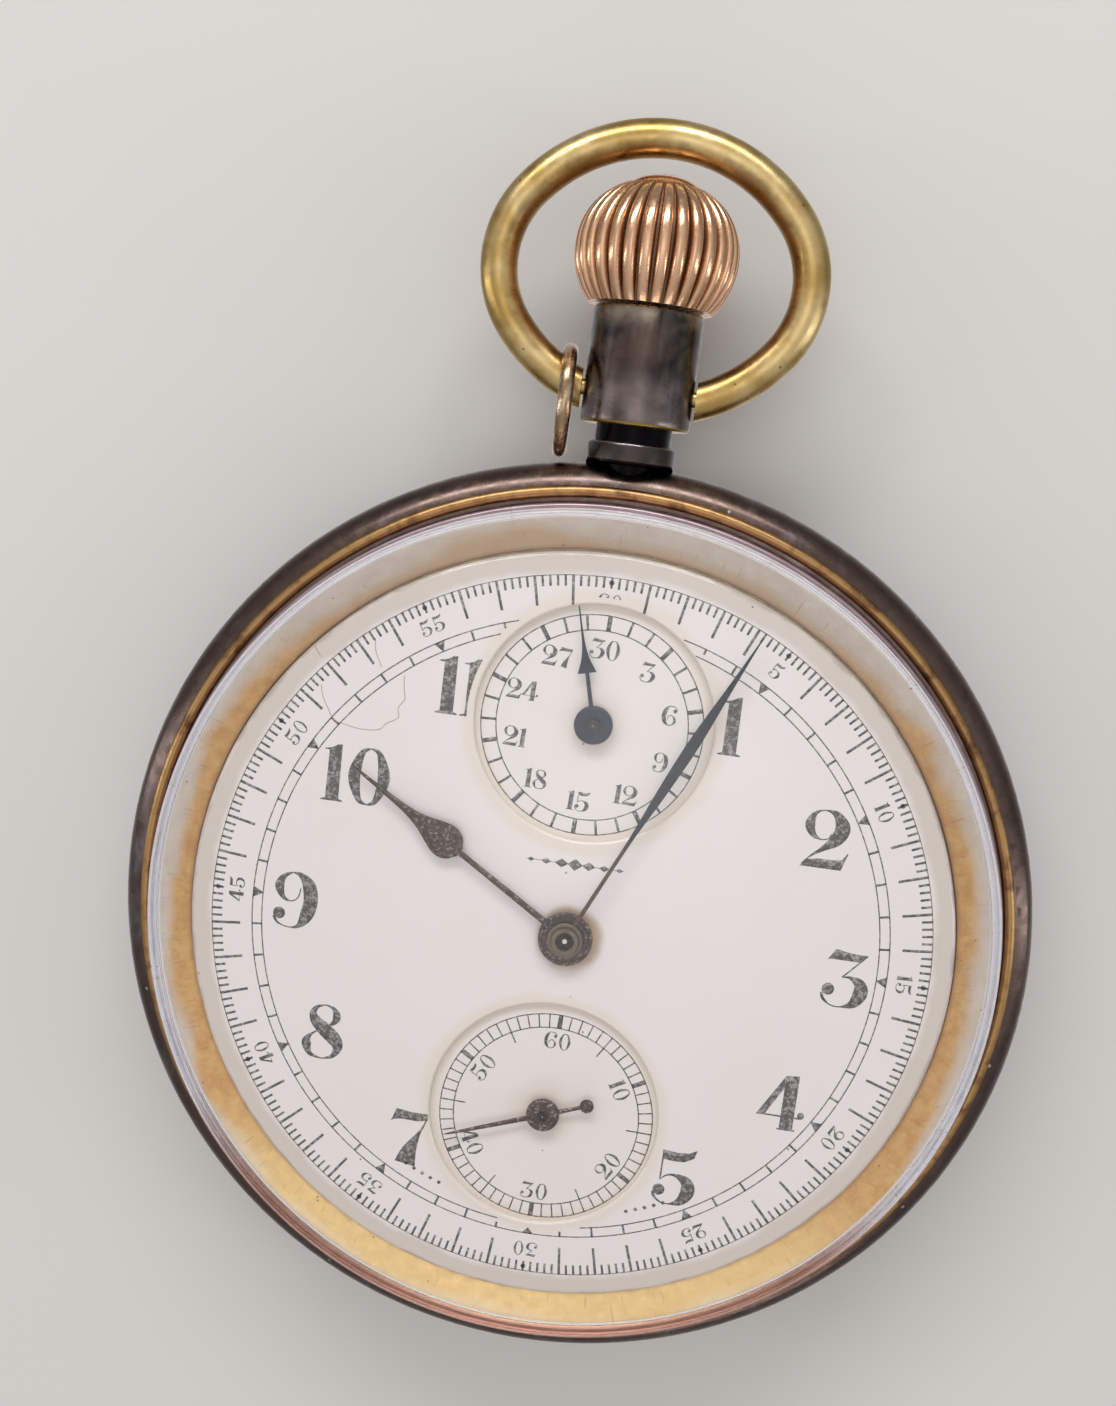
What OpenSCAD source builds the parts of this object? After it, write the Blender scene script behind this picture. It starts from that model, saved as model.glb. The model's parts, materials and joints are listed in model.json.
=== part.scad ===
// Open-face pocket chronograph, lying on its back with the dial up.
// Origin: centre of the back's flat rest face. +Y points to 12 o'clock, +Z out of the dial.

/* [Case] */
// Largest radius of the case band
band_r = 25.95; // [25.9:0.05:26.1]
// Height of the band's widest line and of the winding stem above the back
stem_z = 6.1; // [6.05:0.05:6.15]
// Height of the joint between the back and the band
back_joint_z = 2.7; // [2.65:0.05:2.75]
// Radius of the flat middle of the back
back_flat_r = 14; // [12:0.5:14]
// Wall thickness of the back
back_wall = 0.8; // [0.6:0.05:0.8]

/* [Crystal and bezel] */
// Outer height of the crystal's middle
crystal_top_z = 12.6; // [12.5:0.05:12.8]
// Wall thickness of the crystal
crystal_wall = 0.8; // [0.7:0.05:0.85]
// Outer radius of the bezel's lip
bezel_r = 23.75; // [23.7:0.01:23.8]

/* [Pendant, crown and bow] */
// Radius of the pendant tube
pendant_r = 3.0; // [2.8:0.05:3.1]
// Largest radius of the crown
crown_r = 4.45; // [4.2:0.05:4.6]
// Number of flutes round the crown
crown_flutes = 30; // [24:2:36]
// Half the width of the bow's centre line
bow_half_w = 8.43; // [8.35:0.02:8.49]
// Radius of the bow's wire
bow_wire_r = 1.02; // [0.9:0.02:1.04]

/* [Dial] */
// Height of the dial's enamel surface above the back
dial_z = 9.2; // [9.15:0.05:9.25]
// Distance from the dial's centre to the minute register's centre
register_y = 11.9; // [11.8:0.05:12]
// Distance from the dial's centre to the seconds dial's centre
seconds_y = 10.45; // [10.4:0.05:10.5]

/* [Movement] */
// Radius of the main plate
plate_r = 21.5; // [21.4:0.05:21.5]
// Number of teeth on the going barrel
barrel_teeth = 72; // [60:6:84]

/* [Hidden] */
$fn = 96;
CLEAR = 0.05;
TEETH_TIP = 0.9;
TEETH_ROOT = 1.15;

// Levels, from the back up to the dial
BRIDGE_Z = 3.2;
GAP_Z = 4.4;
PLATE_Z = 5.8;
PLATE_TOP = 8.0;
DIAL_UNDER = 8.4;
SUNK_Z = dial_z - 0.35;
WORK_Z = 2.5;

// Places of the arbors
CENTRE = [0, 0];
BARREL = [-7.13, 5.0];
THIRD = [3.506, -5.768];
FOURTH = [0, -seconds_y];
ESCAPE = [-4.70, -8.74];
PALLET = [-7.70, -8.85];
BALANCE = [-12, -9];
RECORDER = [0, register_y];
CROWN_WHEEL = [0, 16.6];
BETWEEN_WHEEL = [-4.6, 14.0];
MINUTE_WHEEL = [3.118, -1.8];
COLUMN = [12.2, 7.4];
COUPLING = [0.74, -5.50];
LEVER_PIVOT = [6.2, -13.2];
HAMMER_PIVOT = [8.2, 2.6];
COCK_FOOT = [-16.3, -2.4];
CLICK_PIVOT = [-16.2, 6.6];
OPERATING_PIVOT = [9.2, 15.4];

// Teeth and pitch radii of the meshing wheels
CENTRE_PINION_TEETH = 12;
CENTRE_PINION_R = norm(BARREL) * CENTRE_PINION_TEETH / (barrel_teeth + CENTRE_PINION_TEETH);
BARREL_PITCH_R = norm(BARREL) - CENTRE_PINION_R;
CENTRE_WHEEL_R = norm(THIRD) * 80 / 90;
THIRD_PINION_R = norm(THIRD) / 9;
THIRD_WHEEL_R = norm(THIRD - FOURTH) * 75 / 85;
FOURTH_PINION_R = norm(THIRD - FOURTH) * 10 / 85;
FOURTH_WHEEL_R = norm(FOURTH - ESCAPE) * 70 / 77;
ESCAPE_PINION_R = norm(FOURTH - ESCAPE) * 7 / 77;
ESCAPE_R = 2.35;
CROWN_WHEEL_R = 2.5;
BETWEEN_R = norm(BETWEEN_WHEEL - CROWN_WHEEL) - CROWN_WHEEL_R;
RATCHET_R = norm(BARREL - BETWEEN_WHEEL) - BETWEEN_R;
MOTION_WHEEL_R = norm(MINUTE_WHEEL) * 36 / 48;
CANNON_R = norm(MINUTE_WHEEL) * 12 / 48;
HOUR_WHEEL_R = norm(MINUTE_WHEEL) * 40 / 50;
MINUTE_PINION_R = norm(MINUTE_WHEEL) * 10 / 50;
RUNNER_R = 4.3;
COUPLING_R = 1.1;
DRIVER_R = norm(COUPLING - FOURTH) - COUPLING_R;
RECORDER_R = 2.5;
BALANCE_R = 4.7;

// Radii of holes and shafts
STEM_R = 0.8;
BUTTON_ROD_R = 0.42;
PIVOT_R = 0.15;
ARBOR_R = 0.3;
JEWEL_R = 0.7;
SUNK_R = 6.5;
DIAL_R = 21.15;
BEZEL_INNER_R = DIAL_R + 0.1;
CRYSTAL_R = 23.48;
HOUR_HAND_Z = 9.6;
MINUTE_HAND_Z = 9.9;
CANNON_TOP_Z = 10.3;
RUNNER_TOP_Z = 10.2;

// Crown, pendant and bow, along the stem
NECK_FOOT_Y = 25.0;
NECK_Y = 27.1;
PENDANT_Y = 28.0;
PENDANT_TOP_Y = 34.25;
CROWN_Y = 34.35;
CROWN_WIDE_Y = 37.25;
CROWN_TOP_Y = 40.6;
BUTTON_TOP_Y = 41.2;
BUTTON_R = 2.02;
BOW_CENTRE_Y = 36.2;
BOW_HALF_H = 7.0;
BOW_TOP_R = 9.2;
BOW_PIVOT_Y = 29.85;
RING_X = -3.95;
RING_R = 2.7;
RING_WIRE_R = 0.4;
RING_Y = 29.0;
SLIDE_Y = 19.42;
ROD_END_Y = 14.95;

// ---------- helpers ----------

function bearing(a, b) = atan2(b[1] - a[1], b[0] - a[0]);
function polar(r, angle) = [r * cos(angle), r * sin(angle)];

// Phase of wheel b that puts a gap of b where wheel a's nearest tooth lies.
function mesh(a, b, phase_a, teeth_a, teeth_b) =
    let (turn = bearing(a, b), step = 360 / teeth_a,
        lead = phase_a + round((turn - phase_a) / step) * step - turn)
    turn + 180 - lead * teeth_a / teeth_b + 180 / teeth_b;

module at(place, z) {
    translate([place[0], place[1], z]) children();
}

// Carries a shape drawn along +Z to the stem's line, with its foot at y.
module on_stem(y) {
    translate([0, y, stem_z]) rotate([-90, 0, 0]) children();
}

module disc(place, z, r, h) {
    at(place, z) cylinder(r = r, h = h);
}

module tube(place, z, outer, inner, h) {
    at(place, z) difference() {
        cylinder(r = outer, h = h);
        translate([0, 0, -1]) cylinder(r = inner, h = h + 2);
    }
}

// A flat bar with rounded ends, from a to b.
module bar(a, b, w, z, h) {
    at(a, z) rotate([0, 0, bearing(a, b)]) translate([0, -w / 2, 0]) cube([norm(b - a), w, h]);
    disc(a, z, w / 2, h);
    disc(b, z, w / 2, h);
}

// Outline of a toothed wheel. One tooth points along the angle phase.
module gear_outline(teeth, pitch_r, phase) {
    m = 2 * pitch_r / teeth;
    step = 360 / teeth;
    tip = pitch_r + TEETH_TIP * m;
    root = pitch_r - TEETH_ROOT * m;
    polygon([for (i = [0 : teeth - 1], p = [[-0.3, root], [-0.13, tip], [0.13, tip], [0.3, root]])
        polar(p[1], phase + (i + p[0]) * step)]);
}

module pinion(place, z, h, teeth, pitch_r, phase) {
    at(place, z) linear_extrude(h) gear_outline(teeth, pitch_r, phase);
}

// A toothed wheel with crossings between its rim and its hub.
module spoked_wheel(place, z, h, teeth, pitch_r, phase, arms, hub) {
    rim = pitch_r - TEETH_ROOT * 2 * pitch_r / teeth - 0.55;
    at(place, z) linear_extrude(h) {
        difference() {
            gear_outline(teeth, pitch_r, phase);
            circle(rim);
        }
        circle(hub);
        intersection() {
            circle(rim + 0.2);
            for (i = [0 : arms - 1]) rotate(i * 360 / arms) translate([0, -0.22]) square([rim + 0.2, 0.44]);
        }
    }
}

// A flat spiral strip between two radii.
module spiral(place, z, h, inner, outer, turns, strip) {
    steps = 20 * turns;
    at(place, z) linear_extrude(h) polygon(concat(
        [for (i = [0 : steps]) polar(inner + (outer - inner) * i / steps, i * 18)],
        [for (i = [steps : -1 : 0]) polar(inner + (outer - inner) * i / steps + strip, i * 18)]));
}

// A screw seen from the back: slotted head below, shank above.
module screw(place, z, head_r, head_h, shank_r, shank_h) {
    difference() {
        disc(place, z, head_r, head_h);
        at(place, z - 0.01) rotate([0, 0, 35]) translate([-head_r - 1, -0.11, 0]) cube([2 * head_r + 2, 0.22, 0.2]);
    }
    disc(place, z + head_h, shank_r, shank_h);
}

// ---------- case ----------

module band_outline() {
    shoulder = 1.7;
    under = 7.35;
    intersection() {
        translate([band_r - shoulder, stem_z]) circle(shoulder);
        translate([band_r - shoulder, stem_z]) square([2, 2]);
    }
    translate([21.05, stem_z]) square([band_r - shoulder - 21.05, shoulder]);
    intersection() {
        translate([band_r - under, stem_z]) circle(under);
        translate([21.05, back_joint_z]) square([6, stem_z - back_joint_z]);
    }
}

module band_body() {
    rotate_extrude() band_outline();
}

module bead_outline() {
    translate([24.35, 7.75]) circle(0.33);
}

module case_middle() {
    color("#4a4543") difference() {
        union() {
            rotate_extrude() difference() {
                union() {
                    band_outline();
                    // neck that the bezel snaps over
                    translate([21.6, 7.5]) square([1.5, 0.7]);
                    // neck that the back snaps over
                    translate([23.1, 2.4]) square([0.85, 0.5]);
                }
                bead_outline();
                // room for the bezel's skirt
                translate([23.1, 7.0]) square([0.75, 3]);
                // seats for the main plate
                translate([20, 7.15]) square([1.6, 3]);
                translate([20, 2]) square([2.4, PLATE_Z - 0.2 - 2]);
            }
            // outer hinge knuckles
            for (x = [-2.4, 1.2]) translate([x, -25.3, back_joint_z]) rotate([0, 90, 0]) cylinder(r = 0.55, h = 1.2);
        }
        // notch for the back's knuckle and the hinge pin's hole
        translate([-1.2, -25.3, back_joint_z]) rotate([0, 90, 0]) cylinder(r = 0.65, h = 2.4);
        translate([-3, -25.3, back_joint_z]) rotate([0, 90, 0]) cylinder(r = 0.25, h = 6);
        // stem hole, and the seat of the pendant neck
        on_stem(19) cylinder(r = 0.9, h = 6);
        on_stem(23.95) cylinder(r = 1.25, h = 4);
    }
}

module rim_bead() {
    color("#b8863f") rotate_extrude() bead_outline();
}

module pendant_neck() {
    color("#3c3a38") difference() {
        union() {
            difference() {
                on_stem(NECK_FOOT_Y) cylinder(r = 2.4, h = NECK_Y - NECK_FOOT_Y);
                band_body();
                // the collar stops short of the band's shoulder
                translate([0, 0, stem_z + 0.9]) cylinder(r = band_r - 0.2, h = 3);
            }
            on_stem(NECK_Y) cylinder(r = 2.2, h = PENDANT_Y - NECK_Y);
            on_stem(23.95) cylinder(r = 1.25, h = 2.5);
        }
        on_stem(20) cylinder(r = STEM_R + CLEAR, h = 12);
    }
}

module pendant() {
    edge = 0.2;
    length = PENDANT_TOP_Y - PENDANT_Y;
    color("#4a4441") difference() {
        on_stem(PENDANT_Y) {
            cylinder(r1 = pendant_r - edge, r2 = pendant_r, h = edge);
            translate([0, 0, edge]) cylinder(r = pendant_r, h = length - 2 * edge);
            translate([0, 0, length - edge]) cylinder(r1 = pendant_r, r2 = pendant_r - edge, h = edge);
        }
        on_stem(20) cylinder(r = STEM_R + CLEAR, h = 20);
        for (side = [-1, 1]) translate([side * 2.4, BOW_PIVOT_Y, stem_z]) rotate([0, 90, 0])
            cylinder(r = 0.5, h = 1.3, center = true);
    }
}

module back_curve(wall) {
    rise_r = 35.8;
    difference() {
        translate([0, wall]) square([24.9 - wall, back_joint_z]);
        difference() {
            translate([back_flat_r, 0]) square([12, 6]);
            translate([back_flat_r, rise_r]) circle(rise_r - wall, $fn = 200);
        }
    }
}

module case_back() {
    color("#45403e") difference() {
        union() {
            rotate_extrude() intersection() {
                difference() {
                    back_curve(0);
                    back_curve(back_wall);
                }
                square([30, back_joint_z]);
            }
            // middle hinge knuckle and its root
            translate([-1.1, -25.3, back_joint_z]) rotate([0, 90, 0]) cylinder(r = 0.55, h = 2.2);
            translate([-1.1, -25.2, 2.0]) cube([2.2, 0.6, 0.65]);
        }
        translate([-3, -25.3, back_joint_z]) rotate([0, 90, 0]) cylinder(r = 0.27, h = 6);
        for (x = [-2.55, 1.1]) translate([x, -25.3, back_joint_z]) rotate([0, 90, 0]) cylinder(r = 0.65, h = 1.45);
        // hairline of the joint under the band
        translate([0, 0, back_joint_z - 0.02]) difference() {
            cylinder(r = 24.95, h = 1);
            translate([-3, -27, -1]) cube([6, 2.1, 3]);
        }
    }
}

module hinge_pin() {
    color("#8a8580") translate([-2.4, -25.3, back_joint_z]) rotate([0, 90, 0]) cylinder(r = 0.25, h = 4.8);
}

module bezel() {
    color("#d2a35c") rotate_extrude() polygon([
        [BEZEL_INNER_R, 8.42], [BEZEL_INNER_R, 8.6], [23.05, 8.9], [23.5, 8.9], [23.5, 9.12], [23.6, 9.2], [bezel_r - 0.05, 9.12],
        [bezel_r, 9.0], [bezel_r, 7.1], [23.2, 7.1], [23.2, 8.42]]);
}

// A glass dome of even thickness. Its edge is bevelled on top and stands on the bezel's flange.
module crystal() {
    foot_z = 8.95;
    edge_w = 0.5;
    bevel = 0.28;
    sag = 2.27;
    rim_z = crystal_top_z - sag;
    rim_r = CRYSTAL_R - bevel;
    dome_r = (rim_r * rim_r + sag * sag) / (2 * sag);
    color("#dfe8ee", 0.35) rotate_extrude() difference() {
        intersection() {
            translate([0, crystal_top_z - dome_r]) circle(dome_r, $fn = 360);
            polygon([
                [0, foot_z], [CRYSTAL_R, foot_z], [CRYSTAL_R, rim_z - bevel], [rim_r, rim_z],
                [rim_r, crystal_top_z + 1], [0, crystal_top_z + 1]]);
        }
        intersection() {
            translate([0, crystal_top_z - dome_r]) circle(dome_r - crystal_wall, $fn = 360);
            translate([0, foot_z - 1]) square([CRYSTAL_R - edge_w, 10]);
        }
    }
}

// ---------- bow, jump ring, crown ----------

// The oval centre line is made of arcs: top and bottom of one radius, sides of a smaller one.
BOW_OFFSET = BOW_TOP_R - BOW_HALF_H;
BOW_SIDE_R = (BOW_TOP_R * BOW_TOP_R - bow_half_w * bow_half_w - BOW_OFFSET * BOW_OFFSET)
    / (2 * (BOW_TOP_R - bow_half_w));
BOW_JOIN = atan2(BOW_OFFSET, bow_half_w - BOW_SIDE_R);
BOW_END = acos(2.7 / BOW_TOP_R);
BOW_END_X = 3.12;

module bow_arc(centre, r, from, to) {
    translate([centre[0], centre[1], stem_z]) rotate([0, 0, from]) rotate_extrude(angle = to - from)
        translate([r, 0]) circle(bow_wire_r);
}

module bow() {
    color("#9c8240") union() {
        bow_arc([0, BOW_CENTRE_Y - BOW_OFFSET], BOW_TOP_R, BOW_JOIN, 180 - BOW_JOIN);
        for (side = [0, 1]) mirror([side, 0, 0]) {
            bow_arc([bow_half_w - BOW_SIDE_R, BOW_CENTRE_Y], BOW_SIDE_R, -BOW_JOIN, BOW_JOIN);
            // each end is cut square, just clear of the pendant's side
            difference() {
                bow_arc([0, BOW_CENTRE_Y + BOW_OFFSET], BOW_TOP_R, -BOW_END, -BOW_JOIN);
                translate([0, BOW_PIVOT_Y - 3, stem_z - 3]) cube([BOW_END_X, 6, 6]);
            }
            translate([1.9, BOW_PIVOT_Y, stem_z]) rotate([0, 90, 0]) cylinder(r = 0.45, h = 1.8);
        }
    }
}

module jump_ring() {
    color("#b9aa86") translate([RING_X, RING_Y, stem_z]) rotate([0, 90 + 4, 0])
        rotate_extrude() translate([RING_R, 0]) circle(RING_WIRE_R);
}

module onion() {
    wide = CROWN_WIDE_Y - CROWN_Y;
    rise = CROWN_TOP_Y - CROWN_WIDE_Y;
    top_r = 2.3;
    foot_r = 3.4;
    upper = ((crown_r - top_r) * (crown_r - top_r) + rise * rise) / (2 * (crown_r - top_r));
    lower = ((crown_r - foot_r) * (crown_r - foot_r) + wide * wide) / (2 * (crown_r - foot_r));
    rotate_extrude() {
        intersection() {
            translate([crown_r - upper, wide]) circle(upper);
            translate([0, wide]) square([6, rise]);
        }
        intersection() {
            translate([crown_r - lower, wide]) circle(lower);
            square([6, wide]);
        }
    }
}

module crown() {
    color("#c08a68") difference() {
        on_stem(CROWN_Y) onion();
        on_stem(CROWN_Y) for (i = [0 : crown_flutes - 1]) rotate([0, 0, i * 360 / crown_flutes])
            translate([crown_r + 0.02, 0, -1]) cylinder(r = 0.24, h = 9, $fn = 24);
        on_stem(CROWN_Y - 1) cylinder(r = STEM_R, h = 39.5 - CROWN_Y + 1 - 1);
        on_stem(CROWN_Y) cylinder(r = 0.48, h = 8);
        on_stem(39.5) cylinder(r = BUTTON_R + 0.08, h = 3);
    }
}

module winding_stem() {
    color("#8e9196") difference() {
        on_stem(15.9) cylinder(r = STEM_R, h = 38.5 - 15.9);
        on_stem(15) cylinder(r = 0.48, h = 25);
        // groove for the setting slide
        on_stem(SLIDE_Y - 0.05) difference() {
            cylinder(r = 1, h = 0.35);
            translate([0, 0, -1]) cylinder(r = 0.65, h = 3);
        }
    }
}

module crown_button() {
    color("#c79572") {
        on_stem(40.15) cylinder(r = BUTTON_R, h = 0.55);
        on_stem(40.7) cylinder(r1 = BUTTON_R, r2 = 1.5, h = 0.35);
        on_stem(41.05) cylinder(r1 = 1.5, r2 = 0.95, h = BUTTON_TOP_Y - 41.05);
        on_stem(ROD_END_Y) cylinder(r = BUTTON_ROD_R, h = 40.15 - ROD_END_Y);
    }
}

module setting_slide() {
    color("#7b7e84") difference() {
        translate([0.2, SLIDE_Y, stem_z - 0.5]) cube([3.8, 0.25, 1.5]);
        on_stem(18) cylinder(r = 0.65 + CLEAR, h = 3);
    }
    color("#7b7e84") translate([3.0, 16.9, stem_z + 1.0]) cube([1.0, SLIDE_Y + 0.25 - 16.9, 0.35]);
}

module winding_pinion() {
    color("#9a9ca0") on_stem(17.65) difference() {
        linear_extrude(1.7) gear_outline(14, 1.4, 0);
        translate([0, 0, -1]) cylinder(r = STEM_R + CLEAR, h = 4);
    }
}

module clutch_pinion() {
    color("#9a9ca0") on_stem(16.0) difference() {
        union() {
            cylinder(r = 1.3, h = 0.5);
            translate([0, 0, 0.5]) cylinder(r = 0.98, h = 0.4);
            translate([0, 0, 0.9]) cylinder(r = 1.3, h = 0.6);
        }
        translate([0, 0, -1]) cylinder(r = STEM_R + CLEAR, h = 4);
    }
}

// ---------- dial and hands ----------

module dial() {
    color("#f1ebe0") difference() {
        union() {
            disc(CENTRE, DIAL_UNDER, DIAL_R, dial_z - 0.35 - DIAL_UNDER);
            translate([0, 0, dial_z - 0.35]) cylinder(r1 = DIAL_R, r2 = DIAL_R - 0.25, h = 0.35);
        }
        disc(CENTRE, 8, 1.15, 3);
        disc(RECORDER, 8, SUNK_R, 3);
        disc(FOURTH, 8, SUNK_R - 0.05, 3);
    }
}

module sunk_dial(place, r) {
    tube(place, DIAL_UNDER, r, 0.45, SUNK_Z - DIAL_UNDER);
}

module register_dial() {
    color("#efe7d8") sunk_dial(RECORDER, SUNK_R);
}

module seconds_dial() {
    color("#efe7d8") sunk_dial(FOURTH, SUNK_R - 0.05);
}

FEET_ANGLES = [25, 155, 292];

module dial_feet() {
    color("#b87a54") for (a = FEET_ANGLES) disc(polar(18.6, a), 6.4, 0.4, DIAL_UNDER - 6.4);
}

// A bar that narrows from one width to another.
module taper(from, to, w1, w2) {
    polygon([[from, -w1 / 2], [to, -w2 / 2], [to, w2 / 2], [from, w1 / 2]]);
}

module hour_hand() {
    color("#4a372c") at(CENTRE, HOUR_HAND_Z) rotate([0, 0, 90 + 58]) difference() {
        union() {
            linear_extrude(0.16) {
                circle(1.5);
                taper(1.2, 7.6, 0.38, 0.34);
                translate([8.4, 0]) circle(0.98);
                taper(8.9, 11.0, 1.7, 0.5);
                taper(11.0, 15.1, 0.5, 0.12);
            }
            cylinder(r = 1.5, h = 0.25);
        }
        translate([0, 0, -1]) cylinder(r = 1.0, h = 3);
    }
}

module minute_hand() {
    color("#2b303c") at(CENTRE, MINUTE_HAND_Z) rotate([0, 0, 90 - 25]) difference() {
        union() {
            linear_extrude(0.13) {
                circle(1.0);
                taper(0.9, 6.6, 0.24, 0.24);
                taper(6.6, 12.8, 0.24, 0.72);
                taper(12.8, 19.6, 0.72, 0.1);
            }
            cylinder(r = 1.0, h = 0.24);
        }
        translate([0, 0, -1]) cylinder(r = 0.75, h = 3);
    }
}

module register_hand() {
    color("#28303e") at(RECORDER, 9.1) rotate([0, 0, 90 + 14]) difference() {
        union() {
            cylinder(r = 1.05, h = 0.42);
            translate([0, 0, 0.16]) linear_extrude(0.12) {
                taper(0.8, 3.2, 0.3, 0.24);
                taper(2.9, 4.4, 0.95, 0.2);
                taper(4.3, 6.5, 0.22, 0.1);
            }
        }
        translate([0, 0, -1]) cylinder(r = ARBOR_R, h = 2);
    }
}

module seconds_hand() {
    color("#3a332f") at(FOURTH, 9.1) rotate([0, 0, 90 - 249.5]) difference() {
        union() {
            cylinder(r = 0.93, h = 0.42);
            translate([0, 0, 0.16]) linear_extrude(0.12) {
                taper(0.7, 5.75, 0.3, 0.1);
                taper(-2.3, -0.7, 0.22, 0.26);
                translate([-2.55, 0]) circle(0.4);
            }
        }
        translate([0, 0, -1]) cylinder(r = ARBOR_R, h = 2);
    }
}

module hour_wheel() {
    color("#c9a04e") difference() {
        union() {
            pinion(CENTRE, 7.95, 0.22, 40, HOUR_WHEEL_R, bearing(CENTRE, MINUTE_WHEEL));
            disc(CENTRE, 7.95, 1.0, HOUR_HAND_Z + 0.25 - 7.95);
        }
        disc(CENTRE, 7, 0.8, 4);
    }
}

module minute_wheel() {
    turn = bearing(MINUTE_WHEEL, CENTRE);
    color("#c9a04e") difference() {
        union() {
            pinion(MINUTE_WHEEL, 7.5, 0.22, 36, MOTION_WHEEL_R, turn + 5);
            pinion(MINUTE_WHEEL, 7.72, 0.5, 10, MINUTE_PINION_R, turn + 18);
        }
        disc(MINUTE_WHEEL, 7, 0.3 + CLEAR, 4);
    }
}

module cannon_pinion() {
    color("#8e9196") difference() {
        union() {
            pinion(CENTRE, 7.45, 0.35, 12, CANNON_R, bearing(CENTRE, MINUTE_WHEEL));
            disc(CENTRE, 7.45, 0.75, CANNON_TOP_Z - 7.45);
        }
        disc(CENTRE, 7, 0.52, 5);
    }
}

// ---------- plates and bridges ----------

module mainplate() {
    color("#c8b184") difference() {
        union() {
            disc(CENTRE, PLATE_Z, 20.95, 7.2 - PLATE_Z);
            disc(CENTRE, 7.2, plate_r, PLATE_TOP - 7.2);
            tube(CENTRE, PLATE_TOP, DIAL_R - 0.05, 20.6, DIAL_UNDER - PLATE_TOP);
            disc(MINUTE_WHEEL, 7.2, 0.3, 1.0);
        }
        // recesses for the barrel, the centre pinion and the motion work
        disc(BARREL, 5, BARREL_PITCH_R + 0.5, 2.05);
        disc(CENTRE, 5, CENTRE_PINION_R + 0.4, 1.95);
        tube(CENTRE, 7.4, HOUR_WHEEL_R + 0.4, 0.5, 2);
        tube(MINUTE_WHEEL, 7.4, MOTION_WHEEL_R + 0.3, 0.3, 2);
        // keyless work and stem
        translate([-2.0, 15.0, 4]) cube([4.0, 5.5, 5]);
        translate([-0.6, 13.4, 4]) cube([1.2, 2.0, 5]);
        translate([1.9, 16.7, 6.9]) cube([2.3, 3.8, 2]);
        translate([1.9, SLIDE_Y - 0.1, 4]) cube([2.3, 20.5 - SLIDE_Y + 0.1, 5]);
        on_stem(19) cylinder(r = STEM_R + CLEAR, h = 4);
        // arbor and foot holes
        disc(CENTRE, 4, 0.5 + CLEAR, 5);
        disc(RECORDER, 4, ARBOR_R + CLEAR, 5);
        disc(FOURTH, 4, ARBOR_R + CLEAR, 5);
        disc(BARREL, 4, 0.9 + CLEAR, 5);
        for (a = FEET_ANGLES) disc(polar(18.6, a), 5, 0.4, 4);
        for (p = [THIRD, ESCAPE, PALLET, BALANCE]) disc(p, 5, JEWEL_R, 1.5);
        for (p = [THIRD, ESCAPE, PALLET, BALANCE]) disc(p, 5, 0.3, 2);
    }
}

BARREL_FEET = [[-18.2, 3.4], [-14.2, 13.6], [-4.8, 18.8], [6.4, 17.4]];
TRAIN_FEET = [[17.6, 5.0], [17.0, -7.4], [9.4, -16.6], [-4.6, -17.4], [9.4, 4.6]];
BRIDGE_SCREW_R = 0.45;

module barrel_bridge_outline() {
    difference() {
        intersection() {
            circle(20.6);
            polygon([[-21, 1.3], [-14, 1.3], [-11, -2.2], [-5.9, -2.2], [-1.8, 3.1], [8.3, 9.3], [9.3, 21], [-21, 21]]);
        }
        translate(CROWN_WHEEL) circle(2.05);
        translate([-2.0, 18.4]) square([4, 3]);
    }
}

module barrel_bridge() {
    color("#d8cfae") difference() {
        union() {
            at(CENTRE, BRIDGE_Z) linear_extrude(GAP_Z - BRIDGE_Z) barrel_bridge_outline();
            for (p = BARREL_FEET) disc(p, GAP_Z, 1.2, PLATE_Z - GAP_Z);
            // post that the intermediate wheel turns on
            disc(BETWEEN_WHEEL, 2.7, 0.6, BRIDGE_Z - 2.7);
        }
        disc(BARREL, 2, 0.9 + CLEAR, 4);
        disc(RECORDER, 2, ARBOR_R + CLEAR, 4);
        for (p = BARREL_FEET) disc(p, 2, BRIDGE_SCREW_R, 5);
        disc(CLICK_PIVOT, 2, 0.35, 4);
    }
}

module train_bridge_outline() {
    difference() {
        intersection() {
            circle(20.6);
            polygon([[-5.2, -2.6], [-1.35, 2.7], [8.8, 8.9], [21, 8.9], [21, -21], [-8, -21], [-7.4, -14.5],
                [-6.4, -13.4], [-6.3, -5.0]]);
        }
        translate(BALANCE) circle(BALANCE_R + 0.6);
    }
}

module train_bridge() {
    color("#d8cfae") difference() {
        union() {
            at(CENTRE, BRIDGE_Z) linear_extrude(GAP_Z - BRIDGE_Z) train_bridge_outline();
            for (p = TRAIN_FEET) disc(p, GAP_Z, 1.2, PLATE_Z - GAP_Z);
        }
        disc(CENTRE, 2, 0.5 + CLEAR, 4);
        disc(FOURTH, 2, ARBOR_R + CLEAR, 4);
        for (p = TRAIN_FEET) disc(p, 2, BRIDGE_SCREW_R, 5);
        for (p = [THIRD, ESCAPE]) disc(p, 3, JEWEL_R, 0.6);
        for (p = [THIRD, ESCAPE]) disc(p, 3, 0.3, 2);
        for (p = [COLUMN, LEVER_PIVOT, HAMMER_PIVOT]) disc(p, 3, 0.35, 2);
    }
}

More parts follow.
